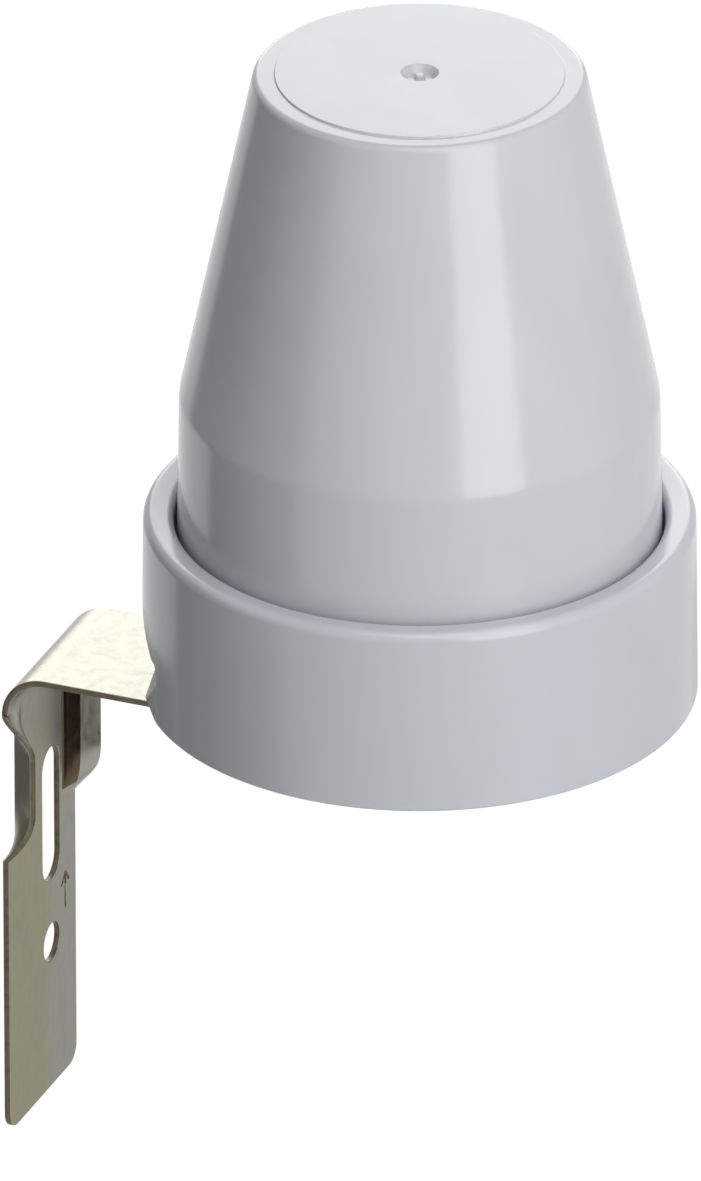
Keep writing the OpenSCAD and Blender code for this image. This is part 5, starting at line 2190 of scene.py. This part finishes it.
@dataclass
class Studio:
    """Floor, lamps, cards, backdrop and camera."""

    target: Corner = (54.9 * MM, 0, 64.1 * MM)  # the point that the camera looks at
    azimuth: float = 22  # direction of the camera, in degrees
    elevation: float = 27.15  # its height above the horizon, in degrees
    distance: float = 4.0  # its distance from the target
    focal_px: float = 29720  # its focal length in pixels of the photograph
    sensor: float = 36
    photo_px: tuple[int, int] = (701, 1181)  # width and height of the photograph in pixels
    centre_px: float = 419.7  # where the target lies across the photograph
    floor_z: float = -0.25  # height of the floor
    floor_half: float = 4.0  # half the floor's width
    floor_grey: float = 0.8  # its colour as the lamps see it
    floor_glow: float = 0.9  # how bright it looks without its shadow
    floor_shade: float = 0.2  # how much of the lamps' light it adds to that
    ambient: float = 0.13  # light that comes from all round
    lamps: tuple[Panel, ...] = (
        Panel("key_box", 56, 16, 0.95, (0.52, 1.05), 3.1),
        Panel("top_box", 52, 66, 0.9, (0.7, 0.7), 2.25),
        Panel("back_box", 202, 22, 1.2, (0.8, 0.95), 2.2),
    )
    cards: tuple[Panel, ...] = (  # the cards beside the object
        Panel("side_card", -74, 0, 0.8, (1.4, 1.0), 0.3),
        Panel("low_card", -66, -27.15, 0.5, (0.5, 0.2), 0.12),
        Panel("leg_card", 158, -27.15, 143 * MM, (80 * MM, 130 * MM), 0.71, (0, 0, 12 * MM)),
        Panel("front_wing_card", -106, -27.15, 24.2 * MM, (22 * MM, 18 * MM), 0.2,
              (1 * MM, -13 * MM, 35 * MM)),
        Panel("rear_wing_card", 80, -27.15, 66 * MM, (60 * MM, 30 * MM), 0.02, (3 * MM, 8 * MM, 35 * MM)),
    )

    def stand(self, panel: Panel) -> tuple[Vector, Vector]:
        """Where a panel stands.

        Args:
            panel: The panel.

        Returns:
            Its middle, and the unit vector from it to what it faces.
        """
        a, e = math.radians(panel.azimuth), math.radians(panel.elevation)
        out = Vector((math.sin(a) * math.cos(e), -math.cos(a) * math.cos(e), math.sin(e)))
        return Vector(panel.aim or self.target) + out * panel.distance, -out

    def build_camera(self) -> None:
        """Set the camera at the photograph's viewing angle."""
        camera = link("camera", bpy.data.cameras.new("camera"))
        data = camera.data
        view = Panel("camera", self.azimuth, self.elevation, self.distance, (0, 0), 0)
        camera.location, ahead = self.stand(view)
        camera.rotation_euler = ahead.to_track_quat("-Z", "Y").to_euler()
        width, height = self.photo_px
        data.sensor_width = self.sensor
        data.lens = self.focal_px * self.sensor / height
        data.shift_x = (width / 2 - self.centre_px) / height
        data.clip_end = self.distance * 3
        bpy.context.scene.camera = camera

    def add_lamp(self, panel: Panel) -> None:
        """Hang one soft lamp.

        Args:
            panel: The lamp.
        """
        lamp = link(panel.name, bpy.data.lights.new(panel.name, "AREA"))
        data = lamp.data
        data.shape = "RECTANGLE"
        data.size, data.size_y = panel.size
        data.energy = panel.light * math.pi * panel.size[0] * panel.size[1]
        lamp.visible_camera = False
        lamp.location, ahead = self.stand(panel)
        lamp.rotation_euler = ahead.to_track_quat("-Z", "Y").to_euler()

    def add_card(self, panel: Panel) -> None:
        """Stand one card beside the object, which only reflections show.

        Args:
            panel: The card.
        """
        place, ahead = self.stand(panel)
        across = ahead.cross(Vector((0, 0, 1))).normalized() * panel.size[0] / 2
        upright = across.cross(ahead).normalized() * panel.size[1] / 2
        corners = [place + across * x + upright * y for x, y in SQUARE]
        card = mesh_object(panel.name, corners, [(0, 1, 2, 3)])
        material = bpy.data.materials.new(panel.name)
        material.use_nodes = True
        wiring = Wiring(material.node_tree)
        wiring.show(wiring.output("ShaderNodeEmission", Strength=panel.light))
        card.data.materials.append(material)
        card.visible_camera = False
        card.visible_shadow = False
        card.visible_transmission = False

    @staticmethod
    def seen_rays(wiring: Wiring) -> Socket:
        """Share of 1 for rays that show the background: camera, glossy and transmission rays.

        Args:
            wiring: The tree that asks.

        Returns:
            The share.
        """
        rays = wiring.node("ShaderNodeLightPath").outputs
        direct = wiring.calculate("MAXIMUM", rays["Is Camera Ray"], rays["Is Glossy Ray"])
        return wiring.calculate("MAXIMUM", direct, rays["Is Transmission Ray"])

    def build_world(self) -> None:
        """Set a white backdrop and a little light from all round."""
        world = bpy.data.worlds.new("backdrop")
        bpy.context.scene.world = world
        world.use_nodes = True
        wiring = Wiring(world.node_tree)
        backdrop = world.node_tree.nodes["Background"].inputs
        wiring.fill(backdrop["Color"], WHITE)
        strength = wiring.output("ShaderNodeMapRange", self.seen_rays(wiring), 0, 1, self.ambient, 1)
        wiring.fill(backdrop["Strength"], strength)

    def build_floor(self) -> None:
        """Lay a pale floor that keeps the object's shadow and is open from below."""
        corners = [(self.floor_half * x, self.floor_half * y, self.floor_z) for x, y in SQUARE]
        floor = mesh_object("floor", corners, [(0, 1, 2, 3)])
        paint = Painter("pale_floor")
        paint.set(base_color=(self.floor_grey,) * 3, roughness=0.9, specular_ior_level=0)
        glow = paint.output("ShaderNodeEmission", Strength=self.floor_glow)
        shaded = paint.output("ShaderNodeBsdfDiffuse", Color=(self.floor_shade,) * 3)
        both = paint.output("ShaderNodeAddShader", glow, shaded)
        above = paint.output("ShaderNodeMixShader", self.seen_rays(paint), paint.surface.outputs[0], both)
        below = paint.node("ShaderNodeNewGeometry").outputs["Backfacing"]
        clear = paint.output("ShaderNodeBsdfTransparent")
        paint.show(paint.output("ShaderNodeMixShader", below, above, clear))
        floor.data.materials.append(paint.material)

    def build(self) -> None:
        """Make the studio."""
        bpy.context.scene.view_settings.view_transform = "Standard"
        self.build_camera()
        self.build_world()
        self.build_floor()
        for lamp in self.lamps:
            self.add_lamp(lamp)
        for card in self.cards:
            self.add_card(card)


PARTS = (Cap, Base, WallBracket, PivotStack, Seals, CircuitBoard, BoxedParts, RoundParts, AxialParts,
         StraightLeads, PhotocellTower)


def main() -> None:
    """Build the sensor and its studio, piece by piece."""
    logging.basicConfig(level=logging.INFO, format="%(name)s: %(message)s")
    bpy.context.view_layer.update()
    shop = Workshop()
    Studio().build()
    for part in PARTS:
        part(shop).build()
    LOG.info("%d pieces made", shop.count)


if __name__ == "__main__":
    main()
